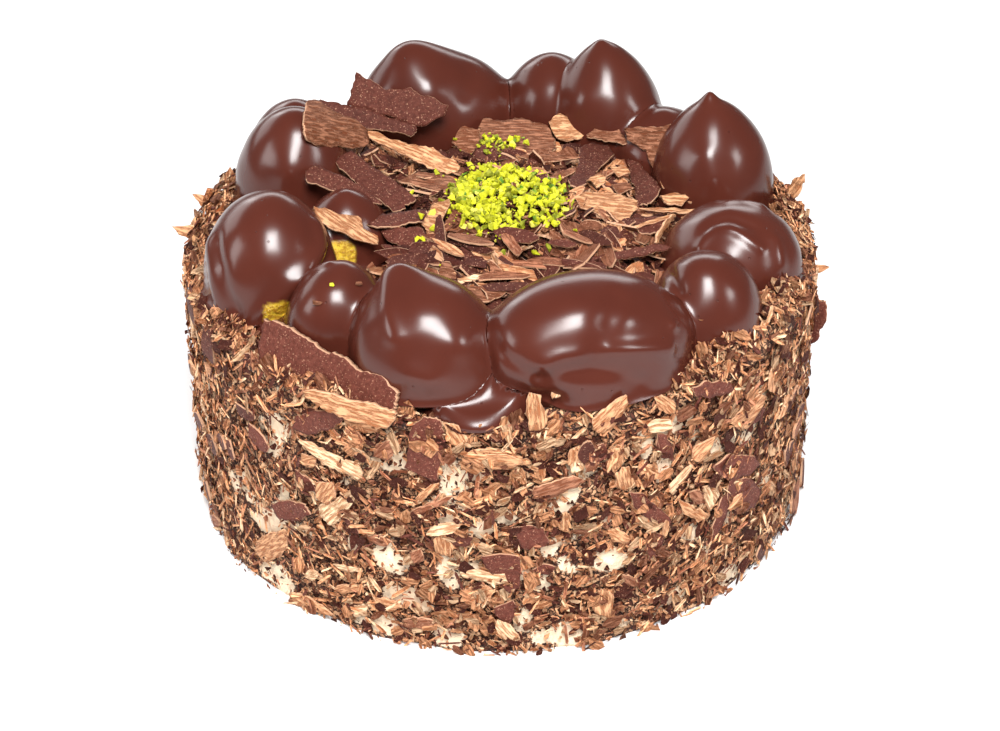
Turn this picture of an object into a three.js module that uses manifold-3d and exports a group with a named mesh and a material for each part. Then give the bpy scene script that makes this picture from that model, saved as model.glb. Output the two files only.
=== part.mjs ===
// A profiterole cake: a round cream cake with chocolate shavings pressed into its side,
// a pool of glaze on its top, a ring of glazed choux puffs in the glaze, a heap of
// shavings in the middle of the ring and a mound of chopped pistachio on the heap.
// Millimetres, +Z up, +Y towards the back. The origin is the middle of the flat base.
import * as THREE from "three";
import { mergeVertices } from "three/addons/utils/BufferGeometryUtils.js";
import Module from "manifold-3d";

const wasm = await Module();
wasm.setup();

// Driving dimensions.
const cakeRadius = 103; // the cream side, under the shavings
const topHeight = 85; // the flat top of the cream
const glazeRadius = 93;
const glazeDepth = 3.6;
const gap = 0.3; // between pieces that touch
const puffFoot = topHeight + gap + glazeDepth + gap; // the height the puffs and the heap stand at
const bellyShare = 0.2; // how far up its height a puff is fullest
const heapRadius = 64;
const heapTop = puffFoot + 13; // the flat middle of the heap, where the pistachio lies
const moundMiddle = [2, 2];
const moundSize = [22, 24, 5.5]; // the chopped pistachio: half width, half depth, height
const flakeThickness = 1.1;

const glazeBrown = new THREE.Color(0x4a2018);
const shavingBrown = new THREE.Color(0x8a5a42);
const plateBrown = new THREE.Color(0x6f3a2e);
const tanBrown = new THREE.Color(0xc48a62);
const pistachioGreen = new THREE.Color(0xb5bd1e);

const glazeFinish = new THREE.MeshStandardMaterial({ color: glazeBrown, roughness: 0.2 });
const shavingFinish = new THREE.MeshStandardMaterial({ color: shavingBrown, roughness: 0.7 });
const plateFinish = new THREE.MeshStandardMaterial({ color: plateBrown, roughness: 0.6 });
const tanFinish = new THREE.MeshStandardMaterial({ color: tanBrown, roughness: 0.7 });
const nutFinish = new THREE.MeshStandardMaterial({ color: pistachioGreen, roughness: 0.65 });

const part = new THREE.Group();

// A repeatable random draw from 0 to 1, and the same spread over a range.
function makeRandom(seed) {
  let state = seed;
  return () => {
    state = (state + 0x6d2b79f5) | 0;
    let t = Math.imul(state ^ (state >>> 15), 1 | state);
    t = (t + Math.imul(t ^ (t >>> 7), 61 | t)) ^ t;
    return ((t ^ (t >>> 14)) >>> 0) / 4294967296;
  };
}
const spread = (random, low, high) => low + (high - low) * random();

// Smooth unevenness from -1 to 1 with bumps about `size` across.
function unevenness(x, y, z, size) {
  const k = Math.PI / size;
  const a = Math.sin(x * k + 1.3 * Math.sin(y * k * 0.7 + 0.4));
  const b = Math.sin(y * k * 1.1 + 1.1 * Math.sin(z * k * 0.8 + 1.9));
  const c = Math.sin(z * k * 0.9 + 1.2 * Math.sin(x * k * 0.6 + 2.7));
  return (a + b + c) / 3;
}

// A closed three.js geometry as a solid that can be joined and cut.
function toSolid(geometry, matrix = new THREE.Matrix4()) {
  const bare = geometry.clone().applyMatrix4(matrix);
  bare.deleteAttribute("normal");
  bare.deleteAttribute("uv");
  const merged = mergeVertices(bare, 1e-3);
  const solid = new wasm.Manifold(
    new wasm.Mesh({
      numProp: 3,
      vertProperties: merged.attributes.position.array,
      triVerts: new Uint32Array(merged.index.array),
    }),
  );
  if (solid.volume() < 0) throw new Error("a geometry is inside out");
  return solid;
}

// The largest piece of a solid, so that a scrap left by a cut is dropped.
function largest(solid) {
  return solid.decompose().sort((a, b) => b.volume() - a.volume())[0];
}

function addNode(name, solid, finish) {
  const mesh = solid.getMesh();
  const geometry = new THREE.BufferGeometry();
  geometry.setAttribute("position", new THREE.BufferAttribute(mesh.vertProperties, 3));
  geometry.setIndex(new THREE.BufferAttribute(mesh.triVerts, 1));
  geometry.computeVertexNormals();
  const node = new THREE.Mesh(geometry, finish);
  node.name = name;
  part.add(node);
}

// Moves each vertex of a geometry as `move(point)` says.
function reshape(geometry, move) {
  const position = geometry.attributes.position;
  const point = new THREE.Vector3();
  for (let i = 0; i < position.count; i += 1) {
    point.fromBufferAttribute(position, i);
    move(point);
    position.setXYZ(i, point.x, point.y, point.z);
  }
  return geometry;
}

// One broken flake of chocolate, lying flat and centred: an uneven boxy plate.
function flakeGeometry(random, length, width, thickness, corners) {
  const outline = [];
  const square = (value) => Math.sign(value) * Math.abs(value) ** 0.55;
  for (let i = 0; i < corners; i += 1) {
    const angle = ((i + 0.5 + spread(random, -0.3, 0.3)) / corners) * 2 * Math.PI;
    const reach = spread(random, 0.8, 1);
    outline.push(
      new THREE.Vector2(
        (length / 2) * reach * square(Math.cos(angle)),
        (width / 2) * reach * square(Math.sin(angle)),
      ),
    );
  }
  const plate = new THREE.ExtrudeGeometry(new THREE.Shape(outline), {
    depth: thickness,
    bevelEnabled: false,
  });
  return plate.translate(0, 0, -thickness / 2);
}

// The place of a flake that runs from one point to another. `lean` turns it about its own
// length, in degrees: 0 lies flat, and above 0 the edge on its left side rises.
function between(from, to, lean) {
  const start = new THREE.Vector3(...from);
  const end = new THREE.Vector3(...to);
  const along = end.clone().sub(start).normalize();
  const across = new THREE.Vector3(0, 0, 1).cross(along).normalize();
  across.applyAxisAngle(along, THREE.MathUtils.degToRad(lean));
  const normal = along.clone().cross(across);
  return new THREE.Matrix4()
    .makeBasis(along, across, normal)
    .setPosition(start.add(end).multiplyScalar(0.5));
}

// The place of something on the side: at `angle` round the cake, `height` up, its face
// outwards, turned by `spin` in that face and by `lift` out of it.
function onSide(angle, height, radius, spin, lift) {
  return new THREE.Matrix4()
    .makeRotationZ(angle)
    .multiply(new THREE.Matrix4().makeTranslation(radius, 0, height))
    .multiply(new THREE.Matrix4().makeRotationY(Math.PI / 2))
    .multiply(new THREE.Matrix4().makeRotationZ(spin))
    .multiply(new THREE.Matrix4().makeRotationY(lift));
}

// The cream cake, with the largest of its shavings fused to the side and a rough rim of
// them round the top.
function makeCakeBody() {
  const bumpSize = 11;
  const bumpDepth = 1.1;
  const footFlare = 0.8; // the shavings bank up at the foot
  const footHeight = 4;
  const shoulder = 3;
  const bands = 6;
  const profile = [new THREE.Vector2(0, 0), new THREE.Vector2(cakeRadius - 0.5, 0)];
  profile.push(new THREE.Vector2(cakeRadius + footFlare, footHeight));
  for (let i = 1; i < bands; i += 1) {
    const height = footHeight + ((topHeight - footHeight - shoulder) * i) / bands;
    profile.push(new THREE.Vector2(cakeRadius, height));
  }
  profile.push(new THREE.Vector2(cakeRadius - 0.5, topHeight - shoulder));
  profile.push(new THREE.Vector2(cakeRadius - shoulder, topHeight));
  profile.push(new THREE.Vector2(0, topHeight));
  const turned = new THREE.LatheGeometry(profile, 56).rotateX(Math.PI / 2);
  reshape(turned, (p) => {
    const r = Math.hypot(p.x, p.y);
    if (r < cakeRadius - shoulder - 1 || p.z === 0) return;
    const grow = 1 + (bumpDepth * unevenness(p.x, p.y, p.z, bumpSize)) / r;
    p.x *= grow;
    p.y *= grow;
  });

  // Shavings in rows up the side, each moved a little from its place in the row.
  const random = makeRandom(7);
  const pieces = [toSolid(turned)];
  const rows = 8;
  const inRow = 11;
  const lowest = 9;
  const rowsHeight = topHeight - 15;
  const largeShare = 0.3;
  for (let row = 0; row < rows; row += 1) {
    for (let i = 0; i < inRow; i += 1) {
      const large = random() < largeShare;
      const length = large ? spread(random, 15, 22) : spread(random, 9, 14);
      const width = length * spread(random, 0.35, 0.7);
      const flake = flakeGeometry(random, length, width, flakeThickness, 5);
      const angle = ((i + (row % 2) / 2 + spread(random, -0.3, 0.3)) / inRow) * 2 * Math.PI;
      const height = lowest + (rowsHeight * (row + spread(random, -0.2, 0.2))) / (rows - 1);
      const reach = cakeRadius + spread(random, 0.6, 1.4);
      const lift = spread(random, -0.2, 0.2);
      const place = onSide(angle, height, reach, spread(random, 0, Math.PI), lift);
      pieces.push(toSolid(flake, place));
    }
  }
  const rimPieces = 26;
  for (let i = 0; i < rimPieces; i += 1) {
    const length = spread(random, 9, 15);
    const flake = flakeGeometry(random, length, length * 0.5, flakeThickness, 5);
    const angle = ((i + spread(random, -0.25, 0.25)) / rimPieces) * 2 * Math.PI;
    const height = topHeight - spread(random, 0, 2.5);
    const spin = spread(random, -0.5, 0.5);
    const place = onSide(angle, height, cakeRadius - 0.6, spin, spread(random, -0.15, 0.25));
    pieces.push(toSolid(flake, place));
  }
  return wasm.Manifold.union(pieces).trimByPlane([0, 0, 1], 0);
}

// The two long plates pressed in at the rim, at the front left, each from end to end.
const rimPlates = [
  { name: "side_plate", from: [-75, -67, 92.5], to: [-30, -98, 94], width: 20, lean: 68 },
  { name: "side_plank", from: [-60, -88, 87.5], to: [-31, -102, 89.5], width: 8, lean: 72 },
];

function rimPlateSolid({ from, to, width, lean }, grow = 0) {
  const length = new THREE.Vector3(...from).distanceTo(new THREE.Vector3(...to));
  const flake = flakeGeometry(
    makeRandom(width),
    length + 2 * grow,
    width + 2 * grow,
    2 * flakeThickness + 2 * grow,
    9,
  );
  return toSolid(flake, between(from, to, lean));
}

// The pool of glaze, a shallow disc with an uneven round-shouldered edge.
function makeGlaze() {
  const edge = 1.2;
  const outline = [];
  const steps = 60;
  for (let i = 0; i < steps; i += 1) {
    const a = (i / steps) * 2 * Math.PI;
    const lobes = 2.2 * Math.sin(7 * a + 0.6) + 1.3 * Math.sin(12 * a + 2.1);
    const r = glazeRadius - edge + lobes;
    outline.push(new THREE.Vector2(r * Math.cos(a), r * Math.sin(a)));
  }
  const pool = new THREE.ExtrudeGeometry(new THREE.Shape(outline), {
    depth: glazeDepth - 2 * edge,
    bevelThickness: edge,
    bevelSize: edge,
    bevelSegments: 1,
  });
  return toSolid(pool.translate(0, 0, topHeight + gap + edge));
}

// The puffs, in order round the ring from the front. `at` is the middle of the foot, `size`
// is the width along the ring, the depth across it and the height of the dome, `peak` is
// where the drawn-up tip stands from the middle, and how far it rises above the dome.
const puffs = [
  { at: [24.5, -75.5], size: [70, 45, 33], peak: [8, 6, 0] },
  { at: [64, -52], size: [35, 35, 26], peak: [-5, 4, 0.5] },
  { at: [75, -20], size: [41, 45, 24], peak: [-4, 2, 1] },
  { at: [71.5, 26], size: [41, 40, 31], peak: [4, 1, 7.5] },
  { at: [56, 51], size: [32, 34, 20], peak: [0, 0, 1] },
  { at: [37.5, 67], size: [40, 40, 31], peak: [4, -1, 7] },
  { at: [18, 76], size: [35, 36, 28], peak: [0, 0, 1] },
  { at: [-22, 71], size: [57, 42, 30], peak: [14, -2.5, 10] },
  { at: [-70, 48], size: [32, 33, 25], peak: [0, 0, 1] },
  { at: [-69, 24], size: [38, 39, 34], peak: [2, 5, 3] },
  { at: [-73, -30], size: [45, 42, 34], peak: [0, 4, 1] },
  { at: [-50, -6], size: [27, 28, 23], peak: [0, 0, 1] },
  { at: [-50, -58], size: [31, 33, 26], peak: [0, 4, 1] },
  { at: [-22.5, -74.5], size: [47, 42, 31], peak: [-11, 6, 5] },
];

// A puff is a flat-footed dome, fullest low down, with a soft drawn-up peak.
// `grow` makes it that much larger all over, to cut its neighbours clear of it.
function puffSolid({ at, size, peak }, grow = 0) {
  const [width, depth, height] = size;
  const belly = puffFoot + height * bellyShare;
  const under = height * bellyShare * 4; // the dome goes on down below the foot, where it is cut
  const peakWidth = width * 0.17;
  const turn = Math.atan2(at[1], at[0]) + Math.PI / 2;
  const ball = new THREE.SphereGeometry(1, 16, 11).rotateX(Math.PI / 2);
  reshape(ball, (p) => {
    const below = p.z < 0;
    const x = p.x * (width / 2 + grow);
    const y = p.y * (depth / 2 + grow);
    const z = p.z * ((below ? under : height * (1 - bellyShare)) + grow);
    const away = Math.hypot(x - peak[0], y - peak[1]) / peakWidth;
    const rise = below ? 0 : peak[2] * Math.exp(-away * away);
    const wobble = 1 + 0.025 * unevenness(x + at[0], y + at[1], z, 17);
    p.set(x * wobble, y * wobble, z + rise);
  });
  ball.rotateZ(turn).translate(at[0], at[1], belly);
  return toSolid(ball).trimByPlane([0, 0, 1], puffFoot - (grow ? gap : 0));
}

function near(a, b) {
  return Math.hypot(a.at[0] - b.at[0], a.at[1] - b.at[1]) < (a.size[0] + b.size[0]) * 0.62;
}

// Each puff gives way to those before it in the list that it presses against.
function makePuffs() {
  return puffs.map((puff, i) => {
    let solid = puffSolid(puff);
    puffs.slice(0, i).forEach((other) => {
      if (near(puff, other)) solid = solid.subtract(puffSolid(other, gap));
    });
    return largest(solid);
  });
}

function clearOfPuffs(solid) {
  return puffs.reduce((rest, puff) => rest.subtract(puffSolid(puff, gap)), solid);
}

// The larger shavings of the heap, from end to end.
const heapPlates = [
  { from: [-65, 18, 121], to: [-44, 38, 105], width: 14, lean: 40 },
  { from: [-52, 47, 115], to: [-21, 41, 107], width: 20, lean: 60 },
  { from: [-58, 42, 112], to: [-28, 35, 105], width: 10, lean: 35 },
  { from: [-49, 38, 107], to: [-15, 16, 104], width: 7, lean: 25 },
  { from: [-52, 18, 110], to: [-26, -6, 101], width: 9, lean: 15 },
  { from: [-63, 7, 111], to: [-30, -10, 100], width: 7, lean: 20 },
  { from: [-60, -13, 112], to: [-34, -25, 98.5], width: 8, lean: 20 },
  { from: [-43, -15, 104], to: [-19, -6, 101.5], width: 7, lean: 10 },
  { from: [-38, -16, 99], to: [-21, -24, 99], width: 11, lean: 35 },
  { from: [-34, 12, 103.5], to: [-10, 5, 104.5], width: 9, lean: 5 },
  { from: [-9, 43, 102.5], to: [18, 43, 102.5], width: 13, lean: 10 },
  { from: [-17, 38, 102.5], to: [-5, 37, 102.5], width: 11, lean: 40 },
  { from: [16, 47, 98.5], to: [29, 47, 98.5], width: 11, lean: 40 },
  { from: [29, 53, 102], to: [44, 49, 103], width: 8, lean: 50 },
  { from: [40, 40, 100], to: [57, 32, 102], width: 16, lean: 55 },
  { from: [32, 13, 102.5], to: [32, 40, 102.5], width: 12, lean: 8 },
  { from: [46, 31, 100], to: [54, 6, 99], width: 10, lean: 15 },
  { from: [22, -1, 103.5], to: [46, -2, 101], width: 13, lean: 15 },
  { from: [18, -5, 103.5], to: [30, -26, 98], width: 9, lean: -20 },
  { from: [34, -8, 101], to: [34, -26, 97], width: 9, lean: 5 },
  { from: [13, -31, 99], to: [56, -25, 103], width: 7, lean: 50 },
  { from: [-12, -22, 102], to: [16, -30, 98], width: 9, lean: 20 },
  { from: [-19, -29, 99], to: [-2, -31, 99], width: 11, lean: 30 },
  { from: [-24, -46, 101], to: [2, -45, 98], width: 16, lean: 20 },
];

// The heap of shavings: a low dome, banked up at the back left and hollow at the left, with
// the shavings that show fused on.
function makeHeap(mound) {
  const rings = [
    [0, heapTop],
    [heapRadius * 0.45, heapTop],
    [heapRadius * 0.65, heapTop - 1.5],
    [heapRadius * 0.8, heapTop - 4.5],
    [heapRadius * 0.92, heapTop - 8],
    [heapRadius, puffFoot],
    [0, puffFoot],
  ];
  const profile = rings.map(([radius, height]) => new THREE.Vector2(radius, height)).reverse();
  const core = new THREE.LatheGeometry(profile, 30).rotateX(Math.PI / 2);
  const rise = (p, x, y, size, height) => height * Math.exp(-((p.x - x) ** 2 + (p.y - y) ** 2) / size ** 2);
  reshape(core, (p) => {
    if (p.z < puffFoot + 1) return;
    p.z += rise(p, -48, 37, 14, 13) + rise(p, -40, -12, 8, -7) + unevenness(p.x, p.y, 0, 13);
  });
  const pieces = [toSolid(core)];
  const random = makeRandom(41);
  heapPlates.forEach(({ from, to, width, lean }) => {
    const length = new THREE.Vector3(...from).distanceTo(new THREE.Vector3(...to));
    const flake = flakeGeometry(random, length, width, flakeThickness, 6);
    pieces.push(toSolid(flake, between(from, to, lean)));
  });
  const loose = 28;
  for (let i = 0; i < loose; i += 1) {
    const angle = ((i + spread(random, -0.4, 0.4)) / loose) * 2 * Math.PI;
    const out = heapRadius * spread(random, 0.48, 0.88);
    const x = out * Math.cos(angle);
    const y = out * Math.sin(angle);
    const z = heapTop + 1 - 9 * Math.max(0, out / heapRadius - 0.5);
    const turn = spread(random, 0, Math.PI);
    const length = spread(random, 10, 19);
    const dx = (length / 2) * Math.cos(turn);
    const dy = (length / 2) * Math.sin(turn);
    const dz = spread(random, -3, 3);
    const flake = flakeGeometry(random, length, spread(random, 4, 9), flakeThickness, 5);
    const place = between([x - dx, y - dy, z - dz], [x + dx, y + dy, z + dz], spread(random, -40, 40));
    pieces.push(toSolid(flake, place));
  }
  const heap = wasm.Manifold.union(pieces).trimByPlane([0, 0, 1], puffFoot);
  return largest(clearOfPuffs(heap).subtract(mound));
}

// The mound of chopped pistachio: a low lens with its larger pieces fused on.
function makeMound(grow = 0) {
  const foot = heapTop + gap - grow;
  const [x, y] = moundMiddle;
  const [halfWidth, halfDepth, height] = moundSize;
  const lens = new THREE.SphereGeometry(1, 20, 8).rotateX(Math.PI / 2);
  lens.scale(halfWidth + grow, halfDepth + grow, height + 2 * grow).translate(x, y, foot);
  const pieces = [toSolid(lens)];
  const random = makeRandom(23);
  const grains = 44;
  for (let i = 0; i < grains; i += 1) {
    const out = Math.sqrt((i + 0.5) / grains);
    const turn = i * 2.4; // near the golden angle, so that they spread evenly
    const grain = new THREE.OctahedronGeometry(spread(random, 1.5, 2.6) + grow, 0);
    grain.scale(1, spread(random, 0.6, 1), spread(random, 0.5, 0.9));
    grain.rotateZ(spread(random, 0, Math.PI)).rotateX(spread(random, -0.6, 0.6));
    const top = heapTop + gap + height * Math.sqrt(1 - 0.9 * out * out) - 0.2;
    grain.translate(
      x + 0.97 * halfWidth * out * Math.cos(turn),
      y + 0.97 * halfDepth * out * Math.sin(turn),
      top,
    );
    pieces.push(toSolid(grain));
  }
  return wasm.Manifold.union(pieces).trimByPlane([0, 0, 1], foot);
}

const body = makeCakeBody();
const clearOfPlates = rimPlates.reduce((solid, plate) => solid.subtract(rimPlateSolid(plate, gap)), body);
addNode("cake_body", largest(clearOfPlates), shavingFinish);
addNode("chocolate_glaze", makeGlaze(), glazeFinish);
makePuffs().forEach((solid, i) => {
  addNode(`profiterole_${String(i + 1).padStart(2, "0")}`, solid, glazeFinish);
});
addNode("shaving_heap", makeHeap(makeMound(2 * gap)), shavingFinish);
addNode("pistachio_heap", makeMound(), nutFinish);
const [plate, plank] = rimPlates;
addNode(plate.name, largest(clearOfPuffs(rimPlateSolid(plate))), plateFinish);
const plankSolid = rimPlateSolid(plank).subtract(rimPlateSolid(plate, gap));
addNode(plank.name, largest(clearOfPuffs(plankSolid)), tanFinish);

export default part;
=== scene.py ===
import math

import bmesh
import bpy
import numpy as np
from mathutils import Matrix, Vector
from mathutils.bvhtree import BVHTree


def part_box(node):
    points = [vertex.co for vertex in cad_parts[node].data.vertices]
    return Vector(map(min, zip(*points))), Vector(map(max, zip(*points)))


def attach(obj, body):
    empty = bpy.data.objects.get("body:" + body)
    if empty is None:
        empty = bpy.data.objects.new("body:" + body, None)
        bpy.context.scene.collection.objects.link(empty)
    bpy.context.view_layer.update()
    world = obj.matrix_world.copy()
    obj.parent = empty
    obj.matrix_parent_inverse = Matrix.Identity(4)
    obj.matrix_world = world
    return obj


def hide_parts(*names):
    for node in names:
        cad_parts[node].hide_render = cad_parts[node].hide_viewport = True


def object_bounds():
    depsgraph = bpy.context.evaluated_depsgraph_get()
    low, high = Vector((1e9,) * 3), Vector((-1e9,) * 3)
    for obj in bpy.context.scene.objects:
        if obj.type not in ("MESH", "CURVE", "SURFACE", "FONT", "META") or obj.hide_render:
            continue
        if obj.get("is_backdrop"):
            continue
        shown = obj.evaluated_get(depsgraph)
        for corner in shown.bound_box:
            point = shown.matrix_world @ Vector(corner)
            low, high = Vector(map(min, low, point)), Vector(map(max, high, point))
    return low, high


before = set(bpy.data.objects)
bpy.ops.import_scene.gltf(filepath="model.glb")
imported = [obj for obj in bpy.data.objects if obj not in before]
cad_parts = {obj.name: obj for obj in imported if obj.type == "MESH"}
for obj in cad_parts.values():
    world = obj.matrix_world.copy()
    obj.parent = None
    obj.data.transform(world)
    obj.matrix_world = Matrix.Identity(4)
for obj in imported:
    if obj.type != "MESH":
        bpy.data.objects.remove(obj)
cadLow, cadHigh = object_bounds()

# Everything is modelled in millimetres, and a finished mesh is scaled to metres.
mm = 0.001
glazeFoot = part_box("chocolate_glaze")[0].z / mm
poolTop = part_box("chocolate_glaze")[1].z / mm
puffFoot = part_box("profiterole_01")[0].z / mm
print("frame loaded")


def paint(red, green, blue):
    # a colour as the screen shows it, to the linear one that a shader takes
    shown = np.array([red, green, blue]) / 255
    return np.where(shown <= 0.04045, shown / 12.92, ((shown + 0.055) / 1.055) ** 2.4)


def wave(points, size):
    # a smooth unevenness between -1 and 1, the same as the solids have
    x, y, z = (points * math.pi / size).T
    a = np.sin(x + 1.3 * np.sin(0.7 * y + 0.4))
    b = np.sin(1.1 * y + 1.1 * np.sin(0.8 * z + 1.9))
    c = np.sin(0.9 * z + 1.2 * np.sin(0.6 * x + 2.7))
    return (a + b + c) / 3


def smoothStep(low, high, value):
    t = np.clip((value - low) / (high - low), 0, 1)
    return t * t * (3 - 2 * t)


def listRows(columns, rows):
    # a dictionary for each row, under these column names
    return [dict(zip(columns.split(), row)) for row in rows]


def bell(distance, size):
    return np.exp(-((distance / size) ** 2))


def unit(vectors):
    return vectors / np.linalg.norm(vectors, axis=-1, keepdims=True)


# Materials


class Finish:
    # a material whose nodes are added from left to right
    def __init__(self, name, roughness, specular=0.5):
        self.material = bpy.data.materials.new(name)
        self.material.use_nodes = True
        self.tree = self.material.node_tree
        self.shader = self.tree.nodes["Principled BSDF"]
        self.shader.inputs["Roughness"].default_value = roughness
        self.shader.inputs["Specular IOR Level"].default_value = specular

    def node(self, kind, inputs=None, **settings):
        made = self.tree.nodes.new(kind)
        for name, value in settings.items():
            setattr(made, name, value)
        for name, value in (inputs or {}).items():
            self.put(made.inputs[name], value)
        return made

    def put(self, socket, value):
        if isinstance(value, bpy.types.NodeSocket):
            self.tree.links.new(value, socket)
        else:
            socket.default_value = value

    def place(self):
        return self.node("ShaderNodeTexCoord").outputs["Object"]

    def carried(self, name):
        return self.node("ShaderNodeAttribute", attribute_name=name)

    def noise(self, place, size, detail=2, roughness=0.5):
        # size is the width of its lumps in millimetres
        values = {"Vector": place, "Scale": 1 / (size * mm), "Detail": detail, "Roughness": roughness}
        return self.node("ShaderNodeTexNoise", values).outputs["Fac"]

    def between(self, value, low, high):
        # 0 below low, 1 above high
        limits = {"Value": value, "From Min": low, "From Max": high}
        return self.node("ShaderNodeMapRange", limits, interpolation_type="SMOOTHSTEP").outputs["Result"]

    def sum(self, kind, a, b):
        made = self.node("ShaderNodeMath", operation=kind)
        self.put(made.inputs[0], a)
        self.put(made.inputs[1], b)
        return made.outputs[0]

    def mix(self, factor, a, b, blend="MIX"):
        made = self.node("ShaderNodeMix", data_type="RGBA", blend_type=blend)
        self.put(made.inputs["Factor"], factor)
        self.put(made.inputs[6], a)
        self.put(made.inputs[7], b)
        return made.outputs[2]

    def bump(self, height, distance, strength=1.0):
        # distance is in millimetres
        values = {"Height": height, "Distance": distance * mm, "Strength": strength}
        return self.node("ShaderNodeBump", values).outputs["Normal"]

    def wear(self, **inputs):
        for name, value in inputs.items():
            self.put(self.shader.inputs[name.replace("_", " ")], value)
        return self.material


def colour(red, green, blue):
    return (*paint(red, green, blue), 1)


def makeGlazeFinish():
    finish = Finish("chocolateGlaze", roughness=0.23, specular=0.36)
    place = finish.place()
    cloud = finish.noise(place, 18, 2)
    brown = finish.mix(cloud, colour(68, 29, 21), colour(80, 37, 27))
    bare = finish.carried("bare").outputs["Fac"]
    crust = finish.between(finish.noise(place, 1.6, 4, 0.7), 0.35, 0.65)
    choux = finish.mix(crust, colour(218, 182, 56), colour(164, 118, 32))
    finish.wear(Base_Color=finish.mix(bare, brown, choux))
    pit = finish.node("ShaderNodeTexVoronoi", {"Vector": place, "Scale": 1 / (5.2 * mm)})
    bubble = finish.between(pit.outputs["Distance"], 0.045, 0.075)
    roughBare = finish.sum("MULTIPLY", crust, bare)
    relief = finish.sum("ADD", bubble, roughBare)
    finish.wear(Normal=finish.bump(relief, 0.25))
    return finish.material


def makeShavingFinish():
    # each corner carries its tone, painted shade included, and each face whether it is a broken edge
    finish = Finish("shavedChocolate", roughness=0.6, specular=0.15)
    place = finish.place()
    tone = finish.carried("tone").outputs["Color"]
    edge = finish.carried("edge").outputs["Fac"]
    redPart = finish.node("ShaderNodeSeparateColor", {"Color": tone}).outputs["Red"]
    milky = finish.between(redPart, 0.16, 0.32)
    uv = finish.node("ShaderNodeUVMap", uv_map="flake").outputs["UV"]
    grain = finish.node("ShaderNodeMapping", {"Vector": uv, "Scale": (0.2, 1.1, 1)}).outputs["Vector"]
    threads = {"Vector": grain, "Scale": 1.0, "Detail": 4, "Roughness": 0.65}
    fibres = finish.node("ShaderNodeTexNoise", threads)
    striped = finish.between(fibres.outputs["Fac"], 0.38, 0.58)
    mottled = finish.between(finish.noise(place, 1.3, 4, 0.7), 0.3, 0.7)
    grooved = finish.mix(striped, colour(190, 160, 140), colour(255, 255, 255))
    clouded = finish.mix(mottled, colour(196, 182, 176), colour(255, 255, 255))
    shade = finish.mix(1.0, tone, finish.mix(milky, clouded, grooved), "MULTIPLY")
    speck = finish.between(finish.noise(place, 0.55, 2, 0.55), 0.62, 0.7)
    dotted = finish.mix(finish.sum("MULTIPLY", speck, 0.45), shade, colour(226, 172, 140))
    pale = finish.mix(0.6, shade, colour(230, 182, 146))
    finish.wear(Base_Color=finish.mix(edge, dotted, pale))
    relief = finish.mix(milky, finish.noise(place, 0.9, 3, 0.7), striped)
    finish.wear(Normal=finish.bump(relief, 0.4))
    return finish.material


def makeCrumbFinish(name, darkest, palest):
    # packed crumbs with painted shade in the gaps between them; "crumb" is 0 where bare cream shows
    finish = Finish(name, roughness=0.6, specular=0.3)
    place = finish.place()
    astray = finish.node("ShaderNodeTexNoise", {"Vector": place, "Scale": 1 / (2.5 * mm), "Detail": 2})
    warp = finish.node("ShaderNodeVectorMath", {"Scale": 0.0022}, operation="SCALE")
    finish.put(warp.inputs[0], astray.outputs["Color"])
    moved = finish.node("ShaderNodeVectorMath", operation="ADD")
    finish.put(moved.inputs[0], place)
    finish.put(moved.inputs[1], warp.outputs[0])
    crumbs = {"Vector": moved.outputs[0], "Scale": 1 / (1.5 * mm)}
    draw = finish.node("ShaderNodeTexVoronoi", crumbs)
    chance = finish.node("ShaderNodeSeparateColor", {"Color": draw.outputs["Color"]}).outputs["Red"]
    gapWidth = finish.node("ShaderNodeTexVoronoi", crumbs, feature="DISTANCE_TO_EDGE").outputs["Distance"]
    solid = finish.between(gapWidth, 0.02, 0.16)
    crumb = finish.mix(finish.between(chance, 0.1, 0.95), darkest, palest)
    # painted shade: the gaps between the crumbs are near black
    packed = finish.mix(solid, colour(34, 14, 9), crumb)
    dust = finish.carried("crumb").outputs["Fac"]
    flecks = finish.noise(place, 1.7, 4, 0.8)
    dusty = finish.sum("ADD", finish.sum("MULTIPLY", dust, 0.8), finish.sum("MULTIPLY", flecks, 1.1))
    cover = finish.between(dusty, 0.86, 0.98)
    cream = finish.mix(finish.noise(place, 3, 2), colour(250, 234, 208), colour(244, 212, 174))
    finish.wear(Base_Color=finish.mix(cover, cream, packed))
    height = finish.sum("MULTIPLY", finish.sum("MULTIPLY", solid, chance), cover)
    relief = finish.sum("ADD", height, finish.noise(place, 1.2, 4, 0.65))
    finish.wear(Normal=finish.bump(relief, 0.6))
    return finish.material


def makeNutFinish():
    finish = Finish("choppedPistachio", roughness=0.55, specular=0.2)
    place = finish.place()
    tone = finish.carried("tone").outputs["Color"]
    skin = finish.between(finish.noise(place, 1.4, 3, 0.6), 0.35, 0.7)
    finish.wear(Base_Color=finish.mix(skin, tone, finish.mix(0.3, tone, colour(240, 236, 90))))
    finish.wear(Normal=finish.bump(finish.noise(place, 0.5, 3, 0.6), 0.2))
    return finish.material


glazeFinish = makeGlazeFinish()
shavingFinish = makeShavingFinish()
creamFinish = makeCrumbFinish("dustedCream", colour(84, 44, 30), colour(230, 176, 134))
# the heap core: chocolate crumb colours, painted darker still as the shade deep in the heap
crumbAndShadeFinish = makeCrumbFinish("chocolateCrumbAndShade", colour(22, 10, 7), colour(96, 54, 40))
nutFinish = makeNutFinish()
print("finishes made")


# Meshes


def gather(bm):
    # a bmesh, whose faces all have as many corners, as arrays
    bm.verts.index_update()
    corners = np.array([v.co[:] for v in bm.verts])
    faces = np.array([[v.index for v in face.verts] for face in bm.faces])
    return corners, faces


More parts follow.
